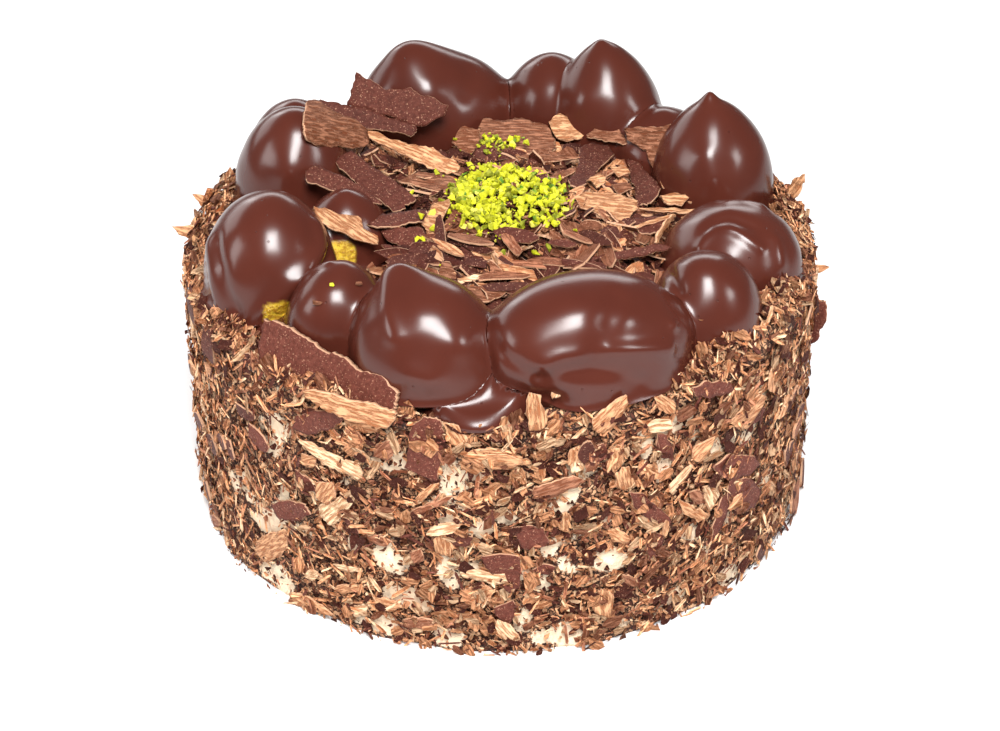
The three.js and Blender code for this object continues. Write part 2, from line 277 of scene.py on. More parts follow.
def spinProfile(profile, steps):
    # turns a line of reaches and heights about the upright axis into a skin
    bm = bmesh.new()
    line = [bm.verts.new((reach, 0, height)) for reach, height in profile]
    for a, b in zip(line, line[1:]):
        bm.edges.new((a, b))
    bmesh.ops.spin(
        bm, geom=bm.verts[:] + bm.edges[:], cent=(0, 0, 0), axis=(0, 0, 1),
        angle=2 * math.pi, steps=steps, use_merge=True,
    )  # fmt: skip
    bmesh.ops.remove_doubles(bm, verts=bm.verts[:], dist=0.001)
    return bm


def cornersRound(bm):
    # the corners of a spun skin, with their reaches and angles
    points = np.array([v.co[:] for v in bm.verts])
    return points, np.hypot(points[:, 0], points[:, 1]), np.arctan2(points[:, 1], points[:, 0])


def toObject(name, mesh, material, slotName, nodes):
    mesh.materials.append(material)
    piece = bpy.data.objects.new(name, mesh)
    bpy.context.collection.objects.link(piece)
    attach(piece, "root")
    if nodes:
        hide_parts(*nodes)
    return piece


def skinToObject(name, bm, points, mark, values, look, nodes, smooth=True):
    # a skin with its corners moved to these points, and a mark that its material reads
    for v, point in zip(bm.verts, points):
        v.co = point * mm
    bmesh.ops.recalc_face_normals(bm, faces=bm.faces[:])
    mesh = bpy.data.meshes.new(name)
    bm.to_mesh(mesh)
    bm.free()
    values = np.broadcast_to(values, len(points)).astype(np.float32)
    mesh.attributes.new(mark, "FLOAT", "POINT").data.foreach_set("value", values)
    mesh.polygons.foreach_set("use_smooth", np.full(len(mesh.polygons), smooth))
    return toObject(name, mesh, *look, nodes)


def joinParts(name, parts, material, slotName, nodes=(), smooth=False):
    # parts hold corners, faces, uv (millimetres along and across a flake) and tone
    corners = np.concatenate([part["corners"] for part in parts])
    corners[:, 2] = np.maximum(corners[:, 2], 0.02)
    loops = []
    starts = []
    firstCorner = 0
    firstLoop = 0
    for part in parts:
        faces = part["faces"]
        loops.append((faces + firstCorner).ravel())
        starts.append(firstLoop + np.arange(len(faces)) * faces.shape[1])
        firstCorner += len(part["corners"])
        firstLoop += faces.size
    loops = np.concatenate(loops).astype(np.int32)
    starts = np.concatenate(starts).astype(np.int32)
    mesh = bpy.data.meshes.new(name)
    mesh.vertices.add(len(corners))
    mesh.vertices.foreach_set("co", (corners * mm).astype(np.float32).ravel())
    mesh.loops.add(len(loops))
    mesh.loops.foreach_set("vertex_index", loops)
    mesh.polygons.add(len(starts))
    mesh.polygons.foreach_set("loop_start", starts)
    mesh.polygons.foreach_set("use_smooth", np.full(len(starts), smooth))
    mesh.update(calc_edges=True)
    uv = np.concatenate([part["uv"] for part in parts])
    mesh.uv_layers.new(name="flake").uv.foreach_set("vector", uv[loops].astype(np.float32).ravel())
    tone = np.concatenate([part["tone"] for part in parts])
    tone = np.column_stack([tone, np.ones(len(tone))]).astype(np.float32)
    mesh.color_attributes.new("tone", "FLOAT_COLOR", "POINT").data.foreach_set("color", tone.ravel())
    edge = np.concatenate([part["edge"] for part in parts]).astype(np.float32)
    mesh.attributes.new("edge", "FLOAT", "FACE").data.foreach_set("value", edge)
    return toObject(name, mesh, material, slotName, nodes)


def brokenOutline(rng, corners, boxy, ragged=0.3):
    # an uneven outline in a unit square: boxy below 1 is squarer, above 1 more pointed
    turns = (np.arange(corners) + rng.uniform(-0.35, 0.35, corners)) / corners * 2 * math.pi
    spots = np.stack([np.cos(turns), np.sin(turns)], axis=-1)
    reach = 0.5 * rng.uniform(1 - ragged, 1, corners)
    return reach[:, None] * np.sign(spots) * np.abs(spots) ** boxy


def brokenEdges(bm):
    # 1 for the faces that join the top and the foot of a sheet
    levels = [{round(v.co.z, 4) for v in face.verts} for face in bm.faces]
    return np.array([len(level) > 1 for level in levels], float)


def asShape(bm, edge=None, lift=0.0):
    # a shape to stamp, in a unit square, with its thickness kept apart
    corners, faces = gather(bm)
    bm.free()
    edge = np.zeros(len(faces)) if edge is None else edge
    return {"flat": corners[:, :2], "side": corners[:, 2] + lift, "faces": faces, "edge": edge}


def thicken(bm, thickness):
    # gives a sheet its thickness, and tells which faces are its broken edges
    bmesh.ops.solidify(bm, geom=bm.faces[:], thickness=thickness)
    bmesh.ops.recalc_face_normals(bm, faces=bm.faces[:])
    return brokenEdges(bm)


def shardShape(rng, corners, boxy):
    # a flat broken shard
    bm = bmesh.new()
    bm.faces.new([bm.verts.new((x, y, 0)) for x, y in brokenOutline(rng, corners, boxy)])
    thicken(bm, 1)
    bmesh.ops.triangulate(bm, faces=bm.faces[:])
    return asShape(bm, brokenEdges(bm), 0.5)


def outlineLimits(outline, x):
    # the lowest and highest y of an outline at one x
    crossings = []
    for (ax, ay), (bx, by) in zip(outline, np.roll(outline, -1, axis=0)):
        if ax != bx and (ax - x) * (bx - x) <= 0:
            crossings.append(ay + (by - ay) * (x - ax) / (bx - ax))
    return min(crossings), max(crossings)


def fillOutline(rng, outline, cells, thickness, rough):
    # a sheet of cells that fills an outline, its edges roughened by this much
    low, high = outline[:, 0].min(), outline[:, 0].max()
    reach = np.linspace(low + 0.02 * (high - low), high - 0.02 * (high - low), cells[0] + 1)
    limits = np.array([outlineLimits(outline, x) for x in reach])
    room = np.clip((limits[:, 1] - limits[:, 0]) / (4 * rough), 0.05, 1)
    shift = rng.uniform(0, 100, 3)
    for edge in (0, 1):
        line = np.stack([reach, limits[:, edge], np.zeros_like(reach)], axis=-1) / rough + shift
        limits[:, edge] += rough * room * (0.9 * wave(line, 6.8) + rng.normal(0, 0.4, len(reach)))
    bm = bmesh.new()
    bmesh.ops.create_grid(bm, x_segments=cells[0], y_segments=cells[1], size=0.5)
    for v in bm.verts:
        column = round((v.co.x + 0.5) * cells[0])
        foot, top = limits[column]
        v.co.y = foot + (top - foot) * (v.co.y + 0.5)
        v.co.x = reach[column] + (rng.normal(0, 0.6 * rough) if column in (0, cells[0]) else 0)
    edge = thicken(bm, thickness)
    corners, faces = gather(bm)
    bm.free()
    return corners, faces, edge


def flakeShape(rng, cells, corners, boxy):
    # a larger broken flake in a unit square, with cells enough to bend it
    outline = brokenOutline(rng, corners, boxy)
    corners, faces, edge = fillOutline(rng, outline, cells, 1, 0.02)
    return {"flat": corners[:, :2], "side": corners[:, 2] + 0.5, "faces": faces, "edge": edge}


def splinterShape(sides):
    # a sliver with two rings and pointed ends
    bm = bmesh.new()
    bmesh.ops.create_uvsphere(bm, u_segments=sides, v_segments=3, radius=0.5)
    turn = Matrix.Rotation(math.pi / 2, 3, "Y")
    bmesh.ops.rotate(bm, verts=bm.verts[:], cent=(0, 0, 0), matrix=turn)
    for v in bm.verts:
        v.co.x *= 1.45 if abs(v.co.x) < 0.4 else 1
    bmesh.ops.triangulate(bm, faces=bm.faces[:])
    bmesh.ops.recalc_face_normals(bm, faces=bm.faces[:])
    return asShape(bm)


def crumbShape(rng, points):
    # a small angular crumb: the hull of a few points on a ball
    bm = bmesh.new()
    for direction in unit(rng.normal(size=(points, 3))):
        bmesh.ops.create_vert(bm, co=direction * 0.5 * rng.uniform(0.8, 1))
    bmesh.ops.convex_hull(bm, input=bm.verts[:])
    bmesh.ops.triangulate(bm, faces=bm.faces[:])
    bmesh.ops.recalc_face_normals(bm, faces=bm.faces[:])
    return asShape(bm)


def stampShapes(shape, place, along, normal, size, bend, tones, rng):
    # copies of a shape: size is length, width and thickness, bend along and across
    across = np.cross(normal, along)
    x, y = shape["flat"].T
    count = len(place)
    length, width, thick = size[:, 0:1], size[:, 1:2], size[:, 2:3]
    bow = bend[:, 0:1] * length * (2 * x**2 - 0.25) + bend[:, 1:2] * width * (2 * y**2 - 0.25)
    local = np.stack([length * x, width * y, bow + thick * shape["side"]], axis=-1)
    axes = np.stack([along, across, normal], axis=1)
    corners = place[:, None, :] + np.einsum("nvk,nkd->nvd", local, axes)
    faces = shape["faces"][None] + (np.arange(count) * len(x))[:, None, None]
    uv = local[:, :, :2] + rng.uniform(0, 400, (count, 1, 2))
    return {
        "corners": corners.reshape(-1, 3),
        "faces": faces.reshape(-1, shape["faces"].shape[1]),
        "uv": uv.reshape(-1, 2),
        "tone": np.repeat(tones, len(x), axis=0),
        "edge": np.tile(shape["edge"], count),
    }


def stampMany(shapes, place, along, normal, size, bend, tones, rng):
    # spreads the places over several shapes
    which = rng.integers(0, len(shapes), len(place))
    parts = []
    for i, shape in enumerate(shapes):
        mine = which == i
        if mine.any():
            values = (field[mine] for field in (place, along, normal, size, bend, tones))
            parts.append(stampShapes(shape, *values, rng))
    return parts


def leaning(normal, along, leanAlong, leanAcross):
    # tips a flake on a surface: its length and its width rise from it by these slopes
    across = np.cross(normal, along)
    tippedAlong = unit(along + leanAlong[:, None] * normal)
    tippedAcross = unit(across + leanAcross[:, None] * normal)
    tippedNormal = unit(np.cross(tippedAlong, tippedAcross))
    return tippedAlong, tippedNormal


shavingTones = {
    "dark": paint(112, 60, 48),
    "brown": paint(168, 112, 84),
    "tan": paint(226, 168, 124),
    "light": paint(248, 208, 166),
}


def pickTones(rng, count, weights, spread=0.12, bright=1.0):
    # weights are the shares of dark, brown, tan and light
    share = np.array(weights) / np.sum(weights)
    names = list(shavingTones)
    picked = np.array([shavingTones[name] for name in names])[rng.choice(len(names), count, p=share)]
    contrast = (picked.mean(axis=1, keepdims=True) / 0.3) ** 0.28
    picked = picked * contrast * bright * (1 + rng.normal(0, spread, (count, 1)))
    return picked * np.minimum(1, 0.95 / picked.max(axis=1, keepdims=True))


def inShade(tones, shade):
    # painted shade: a shaving that lies between other chocolate is painted darker, and redder too
    return tones * np.reshape(shade, (-1, 1)) ** np.array([0.8, 1.1, 1.2])


shapeRng = np.random.default_rng(11)
boxyness = (0.45, 0.7, 1.0, 1.3)
bits = [shardShape(shapeRng, 4 + i % 2, boxyness[i % 4]) for i in range(16)]
chips = [shardShape(shapeRng, 5 + i % 4, boxyness[i % 4]) for i in range(24)]
largeFlakes = [flakeShape(shapeRng, (7, 3), 7 + i % 4, boxyness[i % 3]) for i in range(14)]
splinters = [splinterShape(3)]


# The cream side and what sticks to it

side = {
    "radius": 101.6,
    "height": 85.0,
    "shoulder": 3.0,
    "relief": 1.1,
    "rows": 72,
    "steps": 420,
}
# bare cream that shows at the front: angle and height of its middle, width and height
creamPatches = [
    (-59, 77, 12, 7), (-49, 60, 7, 6), (-61, 64, 7, 7), (-64, 72, 4, 8), (-45, 29, 6, 5),
    (-50, 21, 5, 4), (-35, 70, 5, 7), (-98, 68, 9, 13), (-99, 51, 6, 8), (-93, 48, 7, 7),
    (-89, 53, 7, 5), (-81, 41, 8, 6), (-86, 32, 5, 8), (-79, 34, 4, 4), (-99, 34, 7, 7),
    (-98, 27, 5, 5), (-71, 49, 4, 4), (-108, 71, 6, 10), (-125, 46, 3, 5), (-142, 30, 6, 5),
    (-136, 27, 11, 9), (-145, 36, 7, 4), (-117, 34, 4, 6), (-109, 18, 8, 8), (-104, 16, 7, 7),
    (-83, 26, 6, 7), (-98, 50, 5, 6), (-99, 31, 8, 9), (-106, 18, 7, 8), (-139, 23, 14, 6),
    (-135, 7, 9, 9), (-111, 5, 10, 7), (-60, 77, 18, 7), (-61, 62, 6, 9), (-81, 39, 5, 5),
    (-86, 12, 6, 12), (-44, 28, 4, 4), (-57, 8, 10, 6),
]  # fmt: skip


def sidePoint(angle, height, out):
    # a point of the side, out from its mean surface, and the way it faces
    facing = np.stack([np.cos(angle), np.sin(angle), np.zeros_like(angle)], axis=-1)
    point = facing * side["radius"]
    point[:, 2] = height
    swell = side["relief"] * wave(point, 11)
    flare = 0.8 * smoothStep(5, 0, height)
    shoulder = side["shoulder"]
    drop = shoulder * np.clip((height - side["height"] + shoulder) / shoulder, 0, 2) ** 2
    point = point + facing * (swell + flare - drop * 0.5 + out)[:, None]
    return point, facing


def creamShowing(angle, height):
    # how bare the cream is, from 0 to 1
    around = np.degrees(angle)
    place = np.stack([np.radians(around) * side["radius"], height, np.zeros_like(height)], axis=-1)
    patchy = wave(place + [7, 3, 5], 17) + 0.6 * wave(place + [1, 9, 2], 7)
    front = 0.5 + 0.5 * np.cos(angle + math.pi / 2)
    level = 0.78 - 0.16 * front
    bare = smoothStep(level - 0.1, level + 0.5, patchy)
    for middle, up, wide, tall in creamPatches:
        gap = (around - middle + 180) % 360 - 180
        across = np.radians(gap) * side["radius"] / (0.5 * wide)
        raised = (height - up) / (0.5 * tall)
        wobble = 0.35 * wave(place, 3)
        bare = np.maximum(bare, smoothStep(1.6, 0.5, np.hypot(across, raised) + wobble))
    return bare


def makeCreamCore():
    radius, height = side["radius"], side["height"]
    profile = [(0, 0)] + [(radius, z) for z in np.linspace(0, height, side["rows"])]
    profile += [(radius - 3, height + 0.4), (radius - 9, height + 0.6), (0, height + 0.6)]
    bm = spinProfile(profile, side["steps"])
    points, reach, angle = cornersRound(bm)
    onSide = reach > radius - 1
    points[onSide] = sidePoint(angle, points[:, 2], 0.0)[0][onSide]
    crumb = np.where(onSide, 1 - creamShowing(angle, points[:, 2]), 1)
    look = (creamFinish, "side_shavings")
    skinToObject("creamCore", bm, points, "crumb", crumb, look, ["cake_body"])


def scatterOnSide(rng, count, bareChance, fineAngle=None):
    # angles and heights spread over the side, fewer where the cream shows
    angle = rng.uniform(-math.pi, math.pi, count * 2)
    height = rng.uniform(0.5, side["height"] + 1, count * 2)
    keep = rng.random(count * 2) > creamShowing(angle, height) * (1 - bareChance)
    if fineAngle is not None:
        keep &= rng.random(count * 2) < fineAngle(angle)
    return angle[keep][:count], height[keep][:count]


def standOnSide(rng, angle, height, out, upright, lean):
    # upright is how much the lengths keep to the vertical
    point, facing = sidePoint(angle, height, out)
    tangent = np.stack([-facing[:, 1], facing[:, 0], facing[:, 2]], axis=-1)
    spin = rng.uniform(0, math.pi, len(angle))
    spin = spin - upright * 0.5 * np.sin(2 * (spin - math.pi / 2))
    along = np.cos(spin)[:, None] * tangent + np.sin(spin)[:, None] * np.array([0, 0, 1.0])
    return point, *leaning(facing, along, *rng.normal(0, lean, (2, len(angle))))


def flakyShare(angle):
    # the left side has fine slivers, the front and the right larger flakes
    leftness = smoothStep(0.35, 0.95, np.cos(angle - math.radians(-165)))
    return 1 - 0.75 * leftness


def awayFromFront(angle):
    # the front has its own flakes, set where the photo shows them
    return 1 - 0.8 * smoothStep(0.5, 0.8, np.cos(angle + math.radians(93)))


def sizes(rng, count, length, narrowness, thickness, favour=1.0):
    # lengths between two, most of them near the first when favour is above 1
    long = length[0] + (length[1] - length[0]) * rng.random(count) ** favour
    return np.stack([long, long * rng.uniform(*narrowness, count), rng.uniform(*thickness, count)], axis=-1)


# size holds length, narrowness, thickness and how many are short, out how far from the
# side a layer reaches, shade how dark its deepest and its outermost shavings are painted,
# as painted shade, and tones the shares of dark, brown, tan and light
sideLayers = [
    {"name": "sideSlivers", "shapes": splinters, "count": 9000, "onBare": 0.25,
     "size": ((1.6, 8), (0.1, 0.3), (0.3, 0.7), 1.8), "out": (0.6, 2.6),
     "tones": (0.16, 0.24, 0.38, 0.22), "spread": 0.15, "bright": 1.28, "shade": (0.72, 1.06),
     "upright": 0.3, "lean": 0.25, "bend": 0.16},
    # sideBitsInner is a shaded copy of sideBitsOuter: painted shade, with darker tones and a low shade
    {"name": "sideBitsInner", "shapes": bits, "count": 12500, "onBare": 0.3,
     "size": ((0.8, 3.4), (0.45, 0.95), (0.3, 0.8), 1.4), "out": (0.2, 1.4),
     "tones": (0.42, 0.32, 0.2, 0.06), "spread": 0.16, "bright": 1.0, "shade": (0.68, 0.68),
     "upright": 0.1, "lean": 0.4, "bend": 0},
    {"name": "sideBitsOuter", "shapes": bits, "count": 12500, "onBare": 0.3,
     "size": ((0.8, 3.4), (0.45, 0.95), (0.3, 0.8), 1.4), "out": (1.1, 2.3),
     "tones": (0.12, 0.2, 0.42, 0.26), "spread": 0.16, "bright": 1.32, "shade": (1, 1),
     "upright": 0.1, "lean": 0.4, "bend": 0},
    {"name": "sideChips", "shapes": chips, "count": 3200, "onBare": 0.15, "share": flakyShare,
     "size": ((3, 9), (0.3, 0.75), (0.4, 0.8), 1.6), "out": (1.4, 2.6),
     "tones": (0.26, 0.2, 0.36, 0.18), "spread": 0.1, "bright": 1.2, "shade": (1, 1),
     "upright": 0.05, "lean": 0.16, "bend": 0},
    {"name": "sidePlates", "shapes": largeFlakes, "count": 170, "onBare": 0.25, "share": awayFromFront,
     "size": ((8, 16), (0.3, 0.65), (0.6, 0.9), 1.6), "out": (1.9, 2.7),
     "tones": (0.48, 0.12, 0.28, 0.12), "spread": 0.08, "bright": 1.0, "shade": (1, 1),
     "upright": 0, "lean": 0.08, "bend": 0.06},
]  # fmt: skip


def makeSideShavings():
    rng = np.random.default_rng(3)
    for layer in sideLayers:
        angle, height = scatterOnSide(rng, layer["count"], layer["onBare"], layer.get("share"))
        count = len(angle)
        size = sizes(rng, count, *layer["size"])
        tones = pickTones(rng, count, layer["tones"], layer["spread"], layer["bright"])
        out = rng.uniform(*layer["out"], count)
        # painted shade: the nearer the cream a shaving lies, the darker and redder it is painted
        deep, clear = layer["shade"]
        tones = inShade(tones, deep + (clear - deep) * smoothStep(0.6, 1.8, out))
        point, along, normal = standOnSide(rng, angle, height, out, layer["upright"], layer["lean"])
        bends = rng.normal(0, layer["bend"], (count, 2))
        parts = stampMany(layer["shapes"], point, along, normal, size, bends, tones, rng)
        joinParts(layer["name"], parts, shavingFinish, "side_shavings")


makeCreamCore()
makeSideShavings()
print("side made")


# The puffs and the glaze

# places and sizes in millimetres: width along the ring, depth, height, and the soft
# peak of the glaze along the ring, inwards and up
puffs = {
    "profiterole_01": {"at": (24.5, -75.5), "size": (70, 45, 33), "peak": (8, 6, 0)},
    "profiterole_02": {"at": (64, -52), "size": (35, 35, 26), "peak": (-5, 4, 0.5)},
    "profiterole_03": {"at": (75, -20), "size": (41, 45, 24), "peak": (-4, 2, 1)},
    "profiterole_04": {"at": (71.5, 26), "size": (41, 40, 31), "peak": (4, 1, 6.4),
                       "spread": 0.38, "tip": 3.0},
    "profiterole_05": {"at": (56, 51), "size": (32, 34, 20), "peak": (0, 0, 1)},
    "profiterole_06": {"at": (37.5, 67), "size": (40, 40, 31), "peak": (4, -1, 6.6),
                       "spread": 0.34, "tip": 1.2},
    "profiterole_07": {"at": (18, 76), "size": (35, 36, 28), "peak": (0, 0, 1)},
    "profiterole_08": {"at": (-22, 71), "size": (57, 42, 30), "peak": (12, -2.5, 8.6), "spread": 0.27},
    "profiterole_09": {"at": (-70, 48), "size": (32, 33, 25), "peak": (0, 0, 1)},
    "profiterole_10": {"at": (-69, 24), "size": (38, 39, 34), "peak": (2, 5, 2.6), "spread": 0.34},
    "profiterole_11": {"at": (-73, -30), "size": (45, 42, 34), "peak": (0, 4, 1)},
    "profiterole_12": {"at": (-50, -6), "size": (27, 28, 21.5), "peak": (0, 0, 1)},
    "profiterole_13": {"at": (-50, -58), "size": (31, 33, 26), "peak": (0, 4, 1)},
    "profiterole_14": {"at": (-22.5, -74.5), "size": (47, 42, 31), "peak": (-11, 6, 5), "tip": 0.5},
}  # fmt: skip
glaze = {
    "edge": 92.4,
    "crease": 1.3,  # how wide the glaze runs together where two puffs meet
    "fillet": 3.2,  # and where a puff meets the pool
    "wobble": 0.03,
    "bellyShare": 0.2,
    "tipWidth": 2.6,
}
# where the glaze stands out (or sinks, below 0) along a line, and how wide that is
folds = listRows("puff out wide line", [
    ("profiterole_11", 1.5, 3.0, [(-57.8, -32.2, 114.4), (-55.8, -37, 109.6), (-58.6, -43.7, 108.3),
     (-64.9, -49.7, 104.4), (-70.3, -51.5, 98.2), (-77.2, -50.7, 92.8)]),
    ("profiterole_11", -3.4, 3.4, [(-54, -36, 104), (-56, -43, 102), (-62.5, -48.6, 99),
     (-66.5, -50.5, 94), (-72, -50, 89)]),
    ("profiterole_11", -1.0, 2.4, [(-88.6, -36.5, 111.9), (-86.6, -44.3, 106.5), (-84.6, -47.5, 99.7),
     (-81.3, -49.5, 93.5)]),
    ("profiterole_11", 0.9, 3.0, [(-91.5, -33, 108), (-90, -41, 103), (-88, -45, 96)]),
    ("profiterole_13", 0.8, 1.6, [(-60.3, -54.9, 109.2), (-56, -54.5, 112.6), (-52.4, -55.3, 114.9)]),
    ("profiterole_01", -7, 8, [(-8, -88, 99), (-1, -92, 95), (5, -96, 93), (12, -98.5, 90)]),
    ("profiterole_01", 0.9, 2.4, [(13.4, -97, 106.5), (17.5, -96.3, 108.2), (23.1, -95.4, 108.6)]),
    ("profiterole_01", 1.4, 2.6, [(32, -93.4, 109), (38, -91.8, 108), (45, -88.4, 106),
     (50.1, -84.2, 103.4)]),
    ("profiterole_01", -1.1, 2.6, [(-4, -87, 112), (-1, -90.6, 108.2), (5.8, -96.8, 104.2),
     (12.3, -98.4, 101.4)]),
    ("profiterole_01", -1.2, 3.2, [(12.3, -98.4, 101.4), (19, -97.8, 104.2), (25.8, -96.3, 104.6),
     (35.7, -94.1, 101.6), (41.5, -92.1, 97)]),
    ("profiterole_01", -0.9, 3.0, [(33.9, -81.2, 119.4), (31, -88.5, 116.5)]),
    ("profiterole_01", 1.2, 8.5, [(24.3, -87, 117)]),
    ("profiterole_01", 0.8, 6.5, [(37.5, -86, 115)]),
    ("profiterole_01", 1.3, 1.5, [(51.4, -78.9, 107.8)]),
    ("profiterole_01", -0.9, 0.7, [(51.6, -79.4, 107.8)]),
    ("profiterole_14", 1.2, 3.0, [(-33, -67, 119), (-33.3, -76, 117.5), (-33.3, -81.6, 115.3),
     (-31, -88, 110)]),
    ("profiterole_14", 0.9, 5.0, [(-13.4, -90.4, 108.8)]),
    ("profiterole_14", 1.0, 3.5, [(-21.7, -95.2, 99.5), (-27, -94.5, 101)]),
    ("profiterole_02", -0.8, 1.8, [(51.5, -49, 109), (53, -55, 110), (54.5, -61, 108.5)]),
    ("profiterole_02", 0.9, 6.5, [(63.3, -57, 114)]),
    ("profiterole_03", 0.9, 1.6, [(63.1, -31.1, 105.6), (68, -27, 110), (74, -30, 111.5),
     (81.7, -34.1, 107.5)]),
    ("profiterole_03", -0.8, 2.0, [(65, -27, 111), (72, -25.5, 113.5), (80, -28, 111.5)]),
    ("profiterole_03", 1.0, 2.2, [(72.8, -14, 114.5), (78, -12, 113.8), (84, -14, 111.5)]),
    ("profiterole_03", 0.9, 2.4, [(86.7, -29.7, 107.7), (88.3, -34.6, 101.4)]),
    ("profiterole_04", 0.8, 4.0, [(69.6, 9.3, 108.7), (68, 12, 114)]),
    ("profiterole_06", 0.8, 5.0, [(29.1, 55, 111.8)]),
    ("profiterole_08", -0.7, 4.0, [(-12, 59, 112), (-10, 66, 116)]),
    ("profiterole_08", 0.9, 5.0, [(-24.2, 57.6, 114.3)]),
    ("profiterole_10", 0.8, 5.0, [(-68.3, 8.4, 111.1)]),
])  # fmt: skip
# where the pool banks up between puffs
poolSwells = [
    {"at": (-4, -84), "rise": 9, "wide": 9},
    {"at": (6, -92), "rise": 3.5, "wide": 7},
    {"at": (58, -70), "rise": 4, "wide": 7},
    {"at": (-62, -56), "rise": 4, "wide": 8},
]
# where the glaze has run off and the choux shows, and how large that is
bareSpots = [
    {"at": (-51.5, -18.9, 95.5), "size": 5.2},
    {"at": (-54.3, -38.5, 105.5), "size": 3.2},
    {"at": (-69.3, -51, 95), "size": 5.2},
    {"at": (-66, -47.5, 92), "size": 4.0},
]


def outwards(points, faces):
    # which way a closed skin faces at each corner
    corner = points[faces]
    across = np.cross(corner[:, 1] - corner[:, 0], corner[:, 2] - corner[:, 0])
    total = np.zeros_like(points)
    for i in range(3):
        np.add.at(total, faces[:, i], across)
    return unit(total)


def distanceToLine(points, line):
    # how far each point is from a broken line, or from a single point
    line = np.array(line, float)
    best = np.linalg.norm(points - line[0], axis=1)
    for start, end in zip(line, line[1:]):
        way = end - start
        share = np.clip((points - start) @ way / (way @ way), 0, 1)
        best = np.minimum(best, np.linalg.norm(points - start - share[:, None] * way, axis=1))
    return best


def shapePuff(name):
    puff = puffs[name]
    width, depth, height = puff["size"]
    bm = bmesh.new()
    bmesh.ops.create_icosphere(bm, subdivisions=6, radius=1)
    ball, faces = gather(bm)
    bm.free()
    belly = puffFoot + glaze["bellyShare"] * height
    above = ball[:, 2] > 0
    x = ball[:, 0] * width / 2
    y = ball[:, 1] * depth / 2
    z = ball[:, 2] * np.where(above, 1 - glaze["bellyShare"], 4 * glaze["bellyShare"]) * height
    along, inward, rise = puff["peak"]
    away = np.hypot(x - along, y - inward)
    tip = puff.get("tip", 0) * bell(away, glaze["tipWidth"])
    peak = rise * bell(away, puff.get("spread", 0.17) * width) + tip
    z = z + np.where(above, peak * smoothStep(0, 0.5, ball[:, 2]), 0)
    local = np.stack([x + puff["at"][0], y + puff["at"][1], z], axis=-1)
    grow = 1 + glaze["wobble"] * wave(local, 17) + 0.012 * wave(local, 7)
    turn = math.atan2(puff["at"][1], puff["at"][0]) + math.pi / 2
    cos, sin = math.cos(turn), math.sin(turn)
    points = np.stack([grow * (x * cos - y * sin), grow * (x * sin + y * cos), z], axis=-1)
    points += [puff["at"][0], puff["at"][1], belly]
    facing = outwards(points, faces)
    for fold in folds:
        if fold["puff"] == name:
            lift = fold["out"] * bell(distanceToLine(points, fold["line"]), fold["wide"])
            points = points + lift[:, None] * facing
    points[:, 2] = np.maximum(points[:, 2], puffFoot - 5)
    return points, faces


def distanceTo(tree, points, reach):
    # signed distances to a closed shape and the ways out of it
    distance = np.full(len(points), reach, float)
    way = np.zeros((len(points), 3))
    for i, point in enumerate(points):
        near, normal, _, gap = tree.find_nearest(Vector(point), reach)
        if near is not None:
            outside = (Vector(point) - near).dot(normal) >= 0
            distance[i] = gap if outside else -gap
            step = (Vector(point) - near) * (1 if outside else -1)
            way[i] = (step / gap)[:] if gap > 0.05 else normal[:]
    return distance, way


def poolHeight(points):
    flat = np.column_stack([points[:, :2], np.zeros(len(points))])
    height = poolTop + 0.35 * wave(flat, 14)
    for swell in poolSwells:
        away = np.linalg.norm(points[:, :2] - swell["at"], axis=1)
        height += swell["rise"] * bell(away, swell["wide"])
    return height


def runTogether(gaps, ways, soft):
    # the distance to shapes that run together, and the way out of them
    weights = np.exp(-np.clip(gaps, -6 * soft, 6 * soft) / soft)
    total = weights.sum(0)
    return -soft * np.log(total), (weights[:, :, None] * ways).sum(0) / total[:, None]


def settle(points, trees, rounds=3):
    # moves a skin onto the shape that the puffs and the pool make where they run together
    crease, fillet = glaze["crease"], glaze["fillet"]
    for i in range(rounds):
        found = [distanceTo(tree, points, 5 * fillet) for tree in trees]
        gaps = np.array([distance for distance, way in found])
        puffGap, puffWay = runTogether(gaps, np.array([way for distance, way in found]), crease)
        poolGap = points[:, 2] - poolHeight(points)
        poolWay = np.tile([0.0, 0.0, 1.0], (len(points), 1))
        blended, pull = runTogether(np.array([puffGap, poolGap]), np.array([puffWay, poolWay]), fillet)
        slope = np.maximum((pull**2).sum(1), 0.2)
        step = np.clip(-blended, -0.2, 2.4) / slope
        step[np.minimum(gaps.min(0), poolGap) < -1.4 * fillet] = 0
        points = points + step[:, None] * pull
    return points


def finishSkin(name, points, faces, rounds=2):
    # smooths a settled skin and marks where it is bare
    mesh = bpy.data.meshes.new(name)
    mesh.from_pydata(points.tolist(), [], faces.tolist())
    bm = bmesh.new()
    bm.from_mesh(mesh)
    for i in range(rounds):
        bmesh.ops.smooth_vert(
            bm, verts=bm.verts[:], factor=0.5, use_axis_x=True, use_axis_y=True, use_axis_z=True
        )
    points = np.array([v.co[:] for v in bm.verts])
    bmesh.ops.scale(bm, vec=(mm, mm, mm), verts=bm.verts[:])
    bm.to_mesh(mesh)
    bm.free()
    bare = np.zeros(len(points))
    for spot in bareSpots:
        reach = np.linalg.norm(points - spot["at"], axis=1) / spot["size"]
        bare = np.maximum(bare, smoothStep(1.1, 0.9, reach + 0.12 * wave(points, 3)))
    mesh.attributes.new("bare", "FLOAT", "POINT").data.foreach_set("value", bare.astype(np.float32))
    mesh.polygons.foreach_set("use_smooth", np.full(len(mesh.polygons), True))
    return mesh


